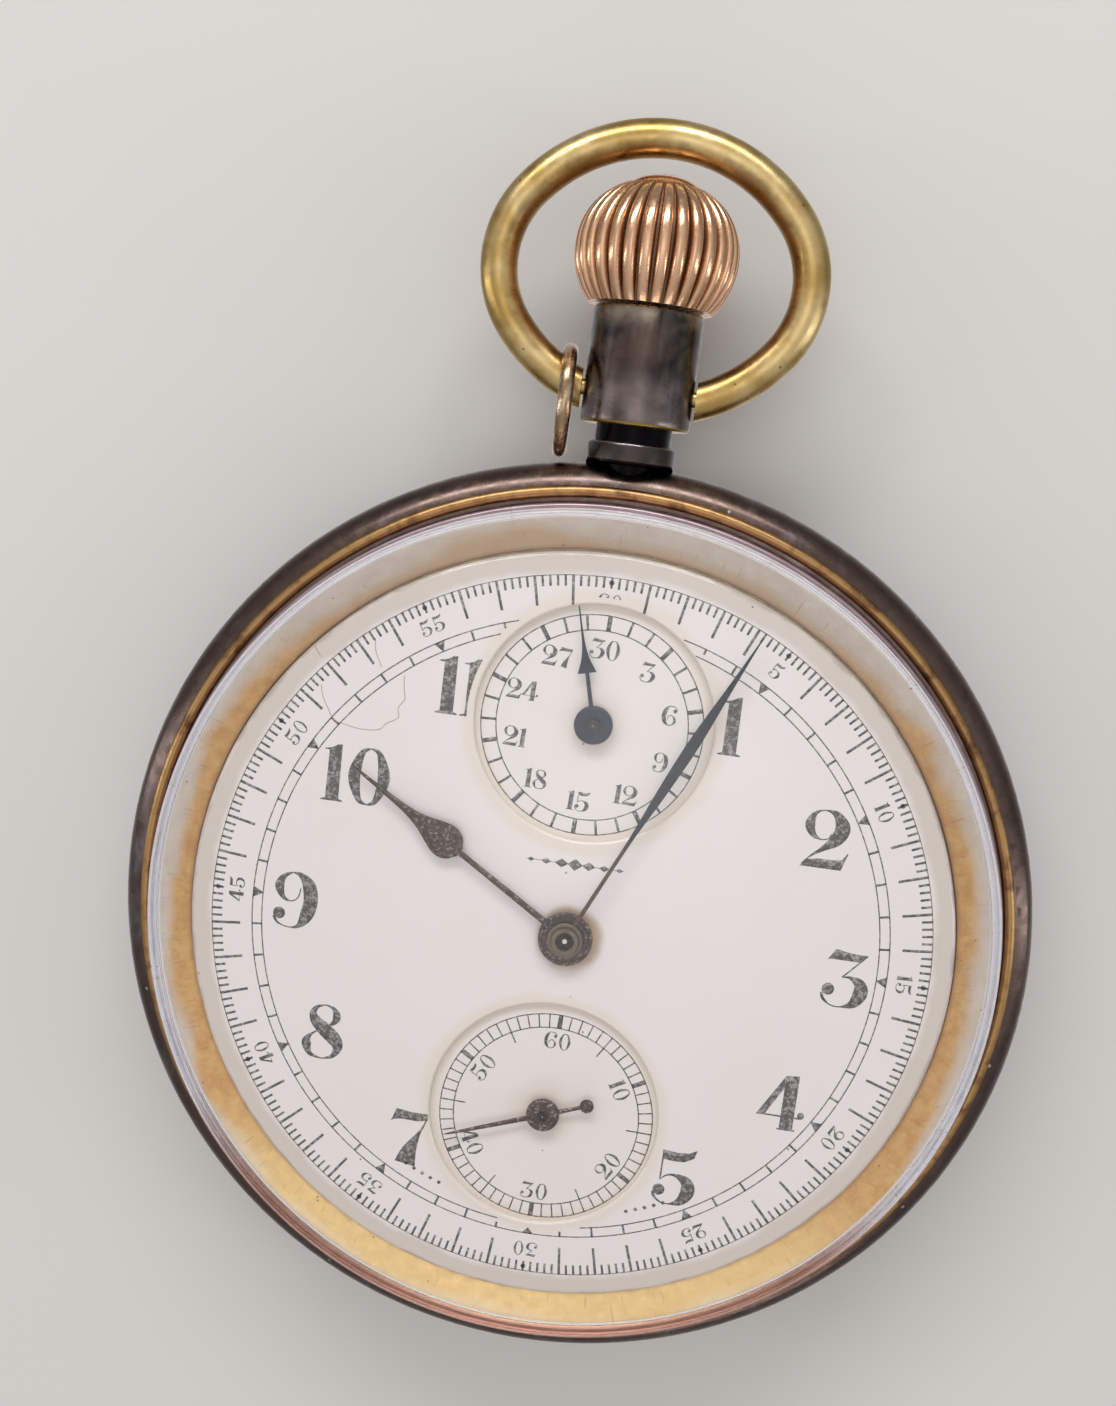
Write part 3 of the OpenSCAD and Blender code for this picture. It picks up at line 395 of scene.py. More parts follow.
def collar_steel():
    """The neck's dark steel, with a painted highlight on its collar's edge, and nearly black in its groove
    and at the band with painted shade and some dirt.
    """
    look = Look("collar_steel", metallic=1.0)
    height = look.axis(1)
    tone = look.mix(look.noise(0.7, 5.0), (62, 56, 56), (98, 88, 86))
    # a pale band on the collar's rounded edge: painted highlight
    tone = look.mix(look.step(height, COLLAR_TOP_Y - 0.16, COLLAR_TOP_Y - 0.04), tone, (150, 146, 150))
    # nearly black in the groove and where the neck meets the band: painted shade with some dirt
    dark = look.math("MAXIMUM", look.step(height, BAND_R + 0.17, BAND_R + 0.07),
                     look.step(height, COLLAR_TOP_Y - 0.03, COLLAR_TOP_Y + 0.02))
    return look.finish(look.mix(dark, tone, (20, 18, 20)), (0.22, 0.38), (1.6, 6.0), (3.0, 8.0, 0.65), 0.2)


def gilt_bead():
    look = Look("gilt_bead", metallic=1.0)
    colour = look.mix(look.step(look.noise(0.8, 6.0, 0.6), 0.45, 0.7), (182, 142, 94), (118, 84, 58))
    return look.finish(colour, (0.3, 0.42), (4.0,), (6.0, 5.0), 0.2)


def gilt_ring():
    """The bezel: gilt inside, worn to silver towards its rim with painted sheen over the wear, rosy on its
    lip and outside. Painted light: a brighter bottom and a near-white band by the lip as painted highlights,
    a paler top as a painted reflection, and painted shade at its inner edge and on its outside at the bottom.
    """
    look = Look("gilt_ring", metallic=1.0)
    radius, along, y = look.radius(), look.around(), look.axis(1)
    # lower marks the bottom of the ring; the tints it drives are painted light
    lower = look.step(y, -11, -18)
    ragged = look.step(look.noise(0.16, 3.0, 0.5, at=along), 0.3, 0.7, -0.5, 0.5)
    # the pale zone reaches further in towards the top: painted reflection
    reach = look.plus(radius, look.plus(ragged, look.step(y, -20, 22, -0.5, 0.35)))
    gold = look.mix(look.step(look.noise(0.9, 7.0, 0.7, 0.3), 0.3, 0.7), (206, 150, 86), (228, 184, 118))
    # brighter gold at the bottom: painted highlight
    gold = look.over(gold, (255, 224, 158), lower, 0.7)
    # paler towards the top: painted reflection
    gold = look.over(gold, (206, 184, 160), look.step(y, 11, 20), 0.75)
    # the pale outer zone: worn gilding with painted sheen over it
    pale = look.mix(look.noise(0.9, 5.0, 0.6, at=along), (200, 186, 172), (232, 222, 208))
    # brighter at the bottom: painted highlight
    pale = look.over(pale, (255, 232, 188), lower, 0.8)
    inner = look.mix(look.step(reach, 22.0, 23.0), gold, pale)
    satin = look.noise(3.0, 6.0, 0.7, at=along, stretch=(0.5, 1.6, 1.0))
    inner = look.over(inner, (150, 116, 84), satin, 0.3)
    # a near-white band by the lip: painted highlight, darker and rosier at the bottom
    bright = look.mix(lower, (232, 230, 238), (180, 128, 108))
    inner = look.mix(look.step(radius, 22.9, 23.15), inner, bright)
    # darker by the dial at its inner edge: painted shade
    inner_edge_shade = look.step(radius, BEZEL_INNER_R + 0.3, BEZEL_INNER_R)
    inner = look.over(inner, (150, 100, 72), inner_edge_shade, 0.5)
    inner = look.over(inner, (92, 66, 46), look.specks(0.9, 0.06), 0.7)
    outside = look.mix(look.noise(0.6, 5.0), (150, 126, 134), (206, 186, 190))
    # the outside darker at the bottom: painted shade
    outside = look.mix(lower, outside, (116, 76, 70))
    colour = look.mix(look.step(radius, 23.4, 23.54), inner, outside)
    scratch = look.step(look.noise(1.0, 2.0, 0.5, at=along, stretch=(6.0, 0.7, 0.7)), 0.64, 0.74)
    dulled = look.step(radius, 22.9, 23.4, 0.0, 0.05)
    look.set(base_color=look.over(colour, (150, 104, 62), scratch, 0.3),
             roughness=look.plus(look.uneven((0.27, 0.42), (1.5, 6.0)), dulled))
    look.bump(look.noise(1.0, 5.0, 0.6, at=along, stretch=(10.0, 1.2, 1.2)), 0.07, 0.02)
    return look.material


def brass():
    """Old brass of the bow: yellow where it is rubbed, brown on its inner side."""
    look = Look("bow_brass", metallic=1.0)
    colour = look.mix(look.noise(0.3, 4.0, 0.5, 0.3), (176, 142, 80), (208, 174, 108))
    colour = look.over(colour, (240, 216, 160), look.step(look.noise(0.3, 4.0, 0.55), 0.4, 0.62), 0.6)
    from_centre = look.vector("SUBTRACT", look.mm, (0, BOW_CENTRE_Y, 0))
    share = look.vector("LENGTH", look.vector("MULTIPLY", from_centre, (1 / BOW_HALF_W, 1 / BOW_HALF_H, 0)))
    ragged = look.plus(share, look.step(look.noise(0.5, 5.0, 0.55), 0.3, 0.7, -0.04, 0.04))
    colour = look.over(colour, (112, 80, 50), look.step(ragged, 0.98, 0.89), 0.6)
    colour = look.over(colour, (96, 74, 40), look.specks(1.0, 0.1), 0.7)
    return look.finish(colour, (0.26, 0.38), (1.5, 5.0), (1.6, 6.0, 0.6), 0.08)


def ring_brass():
    look = Look("ring_metal", metallic=1.0)
    colour = look.mix(look.step(look.noise(1.2, 5.0), 0.42, 0.62), (172, 140, 108), (216, 194, 164))
    return look.finish(colour, (0.18, 0.34), (4.0,), (5.0, 6.0), 0.2)


def rose_gold():
    """Rose gold crown: pale on its ribs, with painted shade making its grooves brown, yellow at its button's
    tip.
    """
    look = Look("rose_gold", metallic=1.0)
    from_stem = look.vector("SUBTRACT", look.mm, (0, 0, STEM_Z))
    off_axis = look.vector("LENGTH", look.vector("MULTIPLY", from_stem, (1, 0, 1)))
    turn = look.math("ARCTAN2", look.axis(2, from_stem), look.axis(0, from_stem))
    # the grooves between the ribs: painted shade
    groove = look.step(look.math("PINGPONG", look.times(turn, RIBS / (2 * pi)), 0.5), 0.32, 0.44)
    groove = look.times(groove, look.step(off_axis, 2.0, 2.3))
    rib = look.mix(look.noise(0.9, 6.0, 0.6), (222, 168, 132), (246, 204, 166))
    rib = look.over(rib, (238, 204, 150), look.step(look.noise(1.6, 6.0, 0.7), 0.5, 0.66), 0.4)
    rib = look.over(rib, (214, 178, 104), look.step(off_axis, 1.1, 0.9), 0.7)
    look.set(base_color=look.over(rib, (66, 40, 28), groove, 0.8),
             roughness=look.plus(look.uneven((0.16, 0.3), (4.0, 5.0)), look.times(groove, 0.3)))
    look.bump(look.noise(7.0, 6.0), 0.15, 0.02)
    return look.material


def glass():
    """Clear crystal that lets lamp light through to the dial."""
    look = Look("crystal_glass", roughness=0.0, ior=1.5, transmission_weight=1.0,
                base_color=(1.0, 1.0, 1.0, 1.0))
    path = look.make("LightPath").outputs
    lamp_light = look.math("MAXIMUM", path["Is Shadow Ray"], path["Is Diffuse Ray"])
    look.blend(lamp_light, look.shader.outputs[0], look.make("BsdfTransparent").outputs[0])
    return look.material


def enamel(name, tint_rings, base=(236, 228, 226)):
    """Fired enamel with faint clouds and specks.

    A tint ring is (centre, radius where it starts, radius where it is full, strength, tint): a stain, or a
    ring of painted shade.
    """
    look = Look(name, specular_ior_level=0.5, coat_weight=0.4, coat_roughness=0.05)
    colour = look.mix(look.noise(0.16, 4.0, 0.5), base, (base[0] - 4, base[1] - 6, base[2] - 10))
    wobble = look.step(look.noise(0.5, 3.0, 0.5), 0.3, 0.7, -0.12, 0.12)
    for centre, start, full, strength, tint in tint_rings:
        reach = look.plus(look.radius(centre), wobble)
        colour = look.over(colour, tint, look.step(reach, start, full), strength)
    colour = look.over(colour, (96, 80, 70), look.specks(0.42, 0.034), 0.75)
    return look.finish(colour, (0.16, 0.26), (0.7, 4.0), (0.5, 3.0), 0.15)


def ink():
    """Black enamel print, chipped to pale flecks."""
    look = Look("dial_ink", roughness=0.4)
    tone = look.mix(look.noise(2.0, 3.0), (50, 45, 44), (82, 74, 71))
    flecks = look.step(look.noise(4.2, 7.0, 0.8), 0.48, 0.58)
    look.set(base_color=look.over(tone, (186, 178, 172), flecks, 0.65))
    return look.material


def thin_crack():
    look = Look("crack_stain", roughness=0.6)
    look.set(base_color=look.mix(look.noise(1.5), (150, 122, 110), (196, 176, 166)))
    return look.material


def aged_steel(name, dark, light, worn, share, rough=(0.28, 0.5), rust=None):
    """Hand steel: a dark finish with grey wear, browned nearer than rust to the dial's centre."""
    look = Look(name, metallic=0.9)
    tone = look.mix(look.noise(2.2, 5.0), dark, light)
    if rust:
        near = look.step(look.plus(look.radius(), look.noise(0.8, 4.0)), rust + 1.2, rust)
        tone = look.mix(near, tone, look.mix(look.noise(1.6, 5.0), (58, 42, 34), (112, 80, 60)))
        boss = look.mix(look.noise(2.5, 5.0), (92, 78, 62), (134, 118, 94))
        tone = look.mix(look.step(look.radius(), 1.03, 0.97), tone, boss)
    tone = look.over(tone, worn, look.step(look.noise(5.0, 8.0, 0.8), 0.52, 0.62), share)
    return look.finish(tone, rough, (6.0, 5.0), (9.0, 7.0, 0.75), 0.5, 0.03)


def arbored(name, centre, arbor_r, pivot_r):
    """A brass wheel on a dark steel arbor with a bright pivot."""
    look = Look(name, metallic=1.0)
    radius = look.radius(centre)
    rim = look.mix(look.noise(1.1, 5.0), *WHEEL_BRASS)
    arbor = look.mix(look.noise(5.0, 5.0), (30, 24, 20), (60, 50, 42))
    colour = look.mix(look.step(radius, arbor_r + 0.05, arbor_r), rim, arbor)
    colour = look.mix(look.step(radius, pivot_r + 0.04, pivot_r), colour, (226, 220, 204))
    return look.finish(colour, (0.2, 0.32), (6.0, 5.0), (12.0, 4.0), 0.15, 0.015)


def plate_finish():
    """Frosted gilt of the movement's plates, with soft stripes across."""
    look = Look("plate_gilt", metallic=1.0)
    stripes = look.make("TexWave", {"Vector": look.mm, "Scale": 0.16}).outputs["Fac"]
    tone = look.mix(stripes, (206, 190, 150), (226, 212, 172))
    look.set(base_color=look.over(tone, (170, 148, 104), look.noise(0.8, 6.0), 0.3),
             roughness=look.step(stripes, 0.2, 0.8, 0.3, 0.42))
    look.bump(look.noise(14.0, 5.0), 0.25, 0.02)
    return look.material


def plain_metal(name, tones, rough):
    look = Look(name, metallic=1.0)
    return look.finish(look.mix(look.noise(1.1, 5.0), *tones), rough, (6.0, 5.0), (12.0, 4.0), 0.15, 0.015)


def ruby():
    look = Look("ruby", roughness=0.08, ior=1.76, transmission_weight=0.35)
    look.set(base_color=look.mix(look.noise(2.0), (150, 24, 52), (196, 48, 78)))
    return look.material


BROWN_STAIN, YELLOW_STAIN = (176, 140, 92), (220, 202, 172)
# the grey edge ring is painted shade from the crystal and bezel with a slight tint; the rim line is painted
# shade in the gap at the dial's rim
GREY_EDGE_SHADE, RIM_GAP_SHADE = (206, 194, 182), (140, 118, 100)
WHEEL_BRASS = ((196, 158, 84), (224, 190, 112))
# the dial's tint rings: brown and yellow stains, and the two rings of painted shade at its edge
DIAL_STAINS_AND_SHADE = [((0.15, -0.1), 2.1, 1.45, 0.8, BROWN_STAIN), ((0, 0), 19.7, 20.3, 0.9, GREY_EDGE_SHADE),
               (REGISTER, 7.5, 6.9, 0.35, YELLOW_STAIN), (SECONDS, 7.3, 6.7, 0.35, YELLOW_STAIN),
               ((0, 0), 20.9, 21.15, 0.5, RIM_GAP_SHADE)]
LOOKS = {
    "gunmetal": gunmetal(),
    "gilt": gilt_bead(),
    "ring_metal": ring_brass(),
    "bow_brass": brass(),
    "rose_gold": rose_gold(),
    "crystal": glass(),
    "enamel": enamel("enamel", DIAL_STAINS_AND_SHADE),
    "hand_steel": aged_steel("hand_steel", (44, 32, 28), (96, 74, 66), (186, 176, 170), 0.75),
    "blue_steel": aged_steel("blue_steel", (10, 20, 36), (26, 42, 66), (120, 120, 122), 0.3, (0.34, 0.5)),
    "plate_gilt": plate_finish(),
    "wheel_brass": plain_metal("wheel_brass", WHEEL_BRASS, (0.2, 0.32)),
    "steel": plain_metal("steel", ((160, 162, 166), (196, 198, 200)), (0.14, 0.28)),
    "spring_steel": plain_metal("spring_steel", ((70, 84, 120), (110, 122, 150)), (0.2, 0.3)),
    "copper": plain_metal("copper", ((184, 112, 76), (206, 136, 96)), (0.25, 0.4)),
    "ruby": ruby(),
}
RING_GILT = gilt_ring()
PENDANT_STEEL = pendant_steel()
COLLAR_STEEL = collar_steel()
INK = ink()
MINUTE_STEEL = aged_steel("minute_steel", (12, 17, 26), (30, 42, 58), (128, 130, 132), 0.4, (0.36, 0.55),
                          rust=6.0)

for part in frame["record"]["subparts"]:
    node = frame["nodes"][part["node"]]
    node.data.materials.clear()
    node.data.materials.append(LOOKS[part["material_slot"]])
special = {"cannon_pinion": MINUTE_STEEL}
for name, centre in (("register", REGISTER), ("seconds", SECONDS)):
    rim = SUNK_R[name]
    tint_rings = [(centre, rim - 0.6, rim - 0.1, 0.5, YELLOW_STAIN), (centre, 2.4, 0.9, 0.35, YELLOW_STAIN)]
    special[name + "_dial"] = enamel(name + "_enamel", tint_rings, (234, 226, 222))
for name, centre, arbor_r, pivot_r in (
        ("chronograph_runner", (0, 0), 0.8, 0.11), ("centre_wheel", (0, 0), 0.8, 0.01),
        ("hour_wheel", (0, 0), 1.2, 0.01), ("minute_recorder", REGISTER, 1.0, 0.01),
        ("fourth_wheel", SECONDS, 1.0, 0.01)):
    special[name] = arbored(name, centre, arbor_r, pivot_r)
for name, look in special.items():
    frame["nodes"][name].data.materials[0] = look

# ---------- case, bezel and crystal ----------


def rim_bead():
    profile = arc(24.35, 7.75, 0.33, 0, 345, 23)
    piece("rim_bead_gilt", lathe(profile, steps=360), LOOKS["gilt"], "case", ["rim_bead"], sharp=80)


def bezel():
    """A flange that slopes up to a raised lip, and the outer wall."""
    profile = [(BEZEL_INNER_R, 8.42), (BEZEL_INNER_R, 8.58), (23.05, 8.9), (23.42, 8.92), (23.5, 9.12),
               (23.62, 9.2), (23.74, 9.1), (BEZEL_R, 8.9), (BEZEL_R, 7.1), (23.2, 7.1), (23.2, 8.42)]
    shape = lathe(rounded(profile, 0.06, 3), steps=360)
    piece("bezel_gilt", shape, RING_GILT, "bezel_ring", ["bezel"], sharp=60)


def crystal():
    """A domed disc of even thickness with a ground and polished edge."""
    edge_r, rim_r, edge_w, thick, sag, foot_z = 23.48, 23.2, 0.5, 0.8, 2.27, 8.95
    rim_z = CRYSTAL_TOP_Z - sag
    dome_r = (rim_r * rim_r + sag * sag) / (2 * sag)
    centre_z = CRYSTAL_TOP_Z - dome_r

    def dome(r, reach):
        return [(r * sin(reach * i / 60), centre_z + r * cos(reach * i / 60)) for i in range(61)]

    outside = [*dome(dome_r, atan2(rim_r, dome_r - sag)), (edge_r, rim_z - 0.28), (edge_r, foot_z),
               (edge_r - edge_w, foot_z)]
    inner_r = dome_r - thick
    inside = list(reversed(dome(inner_r, asin((edge_r - edge_w) / inner_r))))
    piece("crystal_glass", lathe(outside + inside, steps=360, closed=False), LOOKS["crystal"], "bezel_ring",
          ["crystal"], sharp=20)


def pendant():
    low, high = PENDANT_Y
    profile = [(BORE_R, low), (PENDANT_R - 0.05, low), (PENDANT_R, low + 0.3), (PENDANT_R, high - 0.3),
               (PENDANT_R - 0.06, high), (BORE_R, high)]
    piece("pendant_tube", lathe(rounded(profile, 0.22, 5), on_stem, 128), PENDANT_STEEL, "case", ["pendant"],
          sharp=40)


def band_y(x, z):
    """Where the band's outside is, level with a point near the stem."""
    curve = 1.7 if z > STEM_Z else 7.35
    return sqrt((BAND_R - curve + sqrt(max(0.0, curve**2 - (z - STEM_Z) ** 2))) ** 2 - x * x)


def collar():
    """The neck between band and pendant, just clear of the band's shoulder and set into its underside."""
    tenon_r, collar_r, groove_r = 1.25, 2.4, 2.08
    foot_y, top_y = BAND_R - 1.9, PENDANT_Y[0]

    def seated(r, turn, h):
        x, y, z = on_stem(r, turn, h)
        if r > tenon_r and h < COLLAR_TOP_Y - 0.5:
            t = min(1.0, max(0.0, (sin(turn) + 0.1) / 0.45))
            share = t * t * (3 - 2 * t)
            y = share * h + (1 - share) * (band_y(x, z) - 0.04)
        return x, y, z

    profile = [(BORE_R, foot_y), (tenon_r, foot_y), (tenon_r, BAND_R - 0.06), (1.8, BAND_R),
               (2.25, BAND_R + 0.06), (collar_r, BAND_R + 0.18), (collar_r, COLLAR_TOP_Y - 0.2),
               (2.36, COLLAR_TOP_Y - 0.08), (2.28, COLLAR_TOP_Y), (groove_r, COLLAR_TOP_Y), (groove_r, top_y),
               (BORE_R, top_y)]
    piece("pendant_collar", lathe(profile, seated, 160), COLLAR_STEEL, "case", ["pendant_neck"],
          sharp=50)


# ---------- crown, button, bow, jump ring ----------

RIB_DEPTH = 0.5


def crown():
    """An onion crown. Its rounded ribs narrow towards both ends and run in under the button."""
    foot, top = CROWN_Y
    wide = foot + 2.9
    top_r, foot_r = 2.3, 3.4
    rows, per_rib = 56, 14
    steps = RIBS * per_rib

    def onion(y):
        end_r, reach = (top_r, top - wide) if y > wide else (foot_r, wide - foot)
        curve = ((CROWN_R - end_r) ** 2 + reach**2) / (2 * (CROWN_R - end_r))
        return CROWN_R - curve + sqrt(curve**2 - (y - wide) ** 2)

    def rib(phase):
        """Height of a rib across one pitch, from 0 in the groove to 1 on its crest."""
        across = abs(phase) / 0.42
        return sqrt(max(0.0, 1 - across**3)) if across < 1 else 0.0

    def ring(r, y, depth=0.0):
        """Points round the stem, drawn in by depth at the grooves."""
        return [on_stem(r - depth * (1 - rib((k / per_rib + 0.5) % 1 - 0.5)), 2 * pi * k / steps, y)
                for k in range(steps)]

    rings = [ring(BORE_R, foot)]
    for row in range(rows + 1):
        t = row / rows
        y = foot + (top - foot) * (t + 0.035 * sin(2 * pi * t))
        outer = onion(min(max(y, foot), top))
        depth = RIB_DEPTH * min(1.0, outer / CROWN_R) * min(1.0, 0.35 + 5 * min(t, 1 - t))
        rings.append(ring(outer, y, depth))
    # the well under the button and the hole for its rod
    rings += [ring(2.12, top - 0.12), ring(2.1, top - 1.1), ring(0.5, top - 1.1), ring(0.5, foot)]
    piece("crown_onion", Shape().rings(rings, loop=True), LOOKS["rose_gold"], "crown", ["crown"],
          sharp=50)


def button():
    """The push piece: a low cap with a flat, worn tip, on its rod."""
    foot, tip = ends("crown_button", Y)
    cap = [(0.92, tip), (1.05, tip - 0.05), (1.5, tip - 0.2), (1.85, tip - 0.42), (2.0, tip - 0.62),
           (2.02, tip - 0.8), (2.0, tip - 1.03)]
    rod = [(1.9, tip - 1.05), (0.42, tip - 1.05), (0.42, foot), (0, foot)]
    profile = [(0, tip), *smooth_curve(cap, 5), *rod]
    shape = lathe(profile, on_stem, 128, closed=False)
    piece("crown_cap", shape, LOOKS["rose_gold"], "button", ["crown_button"], sharp=50)


def bow():
    """An oval of four arcs, open at the pendant, with square ends and a pin in each."""
    top_r, last_x, end_x, up = 9.2, 2.7, 3.12, Vector((0, 0, 1))
    offset = top_r - BOW_HALF_H
    side_r = (top_r**2 - BOW_HALF_W**2 - offset**2) / (2 * (top_r - BOW_HALF_W))
    side_x = BOW_HALF_W - side_r
    join = atan2(offset, side_x) * 180 / pi
    end = acos(last_x / top_r) * 180 / pi
    right = [*arc(0, BOW_CENTRE_Y + offset, top_r, -end, -join, 20),
             *arc(side_x, BOW_CENTRE_Y, side_r, -join, join, 30),
             *arc(0, BOW_CENTRE_Y - offset, top_r, join, 90, 24)]
    outline = right + [(-x, y) for x, y in reversed(right[:-1])]
    clean = [p for i, p in enumerate(outline)
             if i == 0 or hypot(p[0] - outline[i - 1][0], p[1] - outline[i - 1][1]) > 0.01]
    shape = sweep([Vector((x, y, STEM_Z)) for x, y in clean], [BOW_WIRE_R] * len(clean), up, sides=48)
    # points past an end are drawn back along the wire onto its square face
    turn_y = BOW_CENTRE_Y + offset
    for i, (x, y, z) in enumerate(shape.verts):
        if abs(x) < end_x and y < BOW_CENTRE_Y:
            r = hypot(x, y - turn_y)
            shape.verts[i] = Vector((end_x if x > 0 else -end_x, turn_y - sqrt(r * r - end_x * end_x), z))
    for side in (-1, 1):
        pin = [Vector((side * x, PIVOT_Y, STEM_Z)) for x in (1.9, 2.0, 3.7)]
        made = sweep(pin, [0.38, 0.45, 0.45], up, sides=24)
        shape.add(made.verts, made.faces)
    piece("bow_ring", shape, LOOKS["bow_brass"], "bow", ["bow"], sharp=50, merge=1e-6)


def jump_ring():
    """A ring of round wire with its seam on the far side."""
    tilt = radians(4)
    flat, side = Vector((sin(tilt), 0, cos(tilt))), Vector((cos(tilt), 0, -sin(tilt)))
    steps, gap = 120, 2.0
    path = []
    for i in range(steps + 1):
        angle = radians(-90 + gap + (360 - 2 * gap) * i / steps)
        path.append(RING_CENTRE + Vector((0, 1, 0)) * RING_R * cos(angle) + flat * RING_R * sin(angle))
    radii = [RING_WIRE_R * 0.86, *[RING_WIRE_R] * (steps - 1), RING_WIRE_R * 0.86]
    shape = sweep(path, radii, side, sides=24)
    piece("jump_ring_wire", shape, LOOKS["ring_metal"], "jump_ring", ["jump_ring"], sharp=50)


# ---------- dial ----------


def circle(r, centre=(0, 0), steps=180):
    turns = [2 * pi * k / steps for k in range(steps)]
    return [(centre[0] + r * cos(turn), centre[1] + r * sin(turn)) for turn in turns]


def disc_with_holes(outer_r, holes):
    """Vertices and triangles of a disc with round holes in it. A hole is (centre, radius)."""
    points, edges = [], []
    for centre, r in [((0, 0), outer_r), *holes]:
        base, loop = len(points), circle(r, centre)
        points += [Vector(p) for p in loop]
        edges += [(base + k, base + (k + 1) % len(loop)) for k in range(len(loop))]
    made = geometry.delaunay_2d_cdt(points, edges, [], 0, 1e-6)
    verts, faces = made[0], made[2]

    def inside(face):
        middle = sum((verts[i] for i in face), Vector((0, 0))) / len(face)
        return middle.length < outer_r and all((middle - Vector(centre)).length >= r for centre, r in holes)

    return verts, [face for face in faces if inside(face)]


def dial():
    """The dial plate, with a soft fired edge round its rim and round each opening."""
    lip, rim, flat, steps = 0.16, 0.3, 0.05, 180
    rim_r = DIAL_R - rim
    holes = [((0, 0), 1.15), (REGISTER, SUNK_R["register"]), (SECONDS, SUNK_R["seconds"])]
    shape = Shape()
    shape.flat(*disc_with_holes(rim_r - flat, [(centre, r + lip + flat) for centre, r in holes]), DIAL_Z)
    shape.flat(*disc_with_holes(DIAL_R - 0.05, holes), DIAL_FOOT_Z)
    for centre, r in holes:
        fall = [(r + lip + flat, DIAL_Z), (r + lip, DIAL_Z), *arc(r + lip, DIAL_Z - lip, lip, 90, 180, 7)[1:],
                (r, DIAL_FOOT_Z)]
        lathe(fall, upright(centre), steps, closed=False, shape=shape)
    edge = [(rim_r - flat, DIAL_Z), (rim_r, DIAL_Z), *arc(rim_r, DIAL_Z - rim, rim, 90, 0, 8)[1:],
            (DIAL_R, DIAL_FOOT_Z + 0.05), (DIAL_R - 0.05, DIAL_FOOT_Z)]
    lathe(edge, upright(), steps, closed=False, shape=shape)
    piece("dial_enamel", shape, LOOKS["enamel"], "case", ["dial"], sharp=60, merge=2e-6)


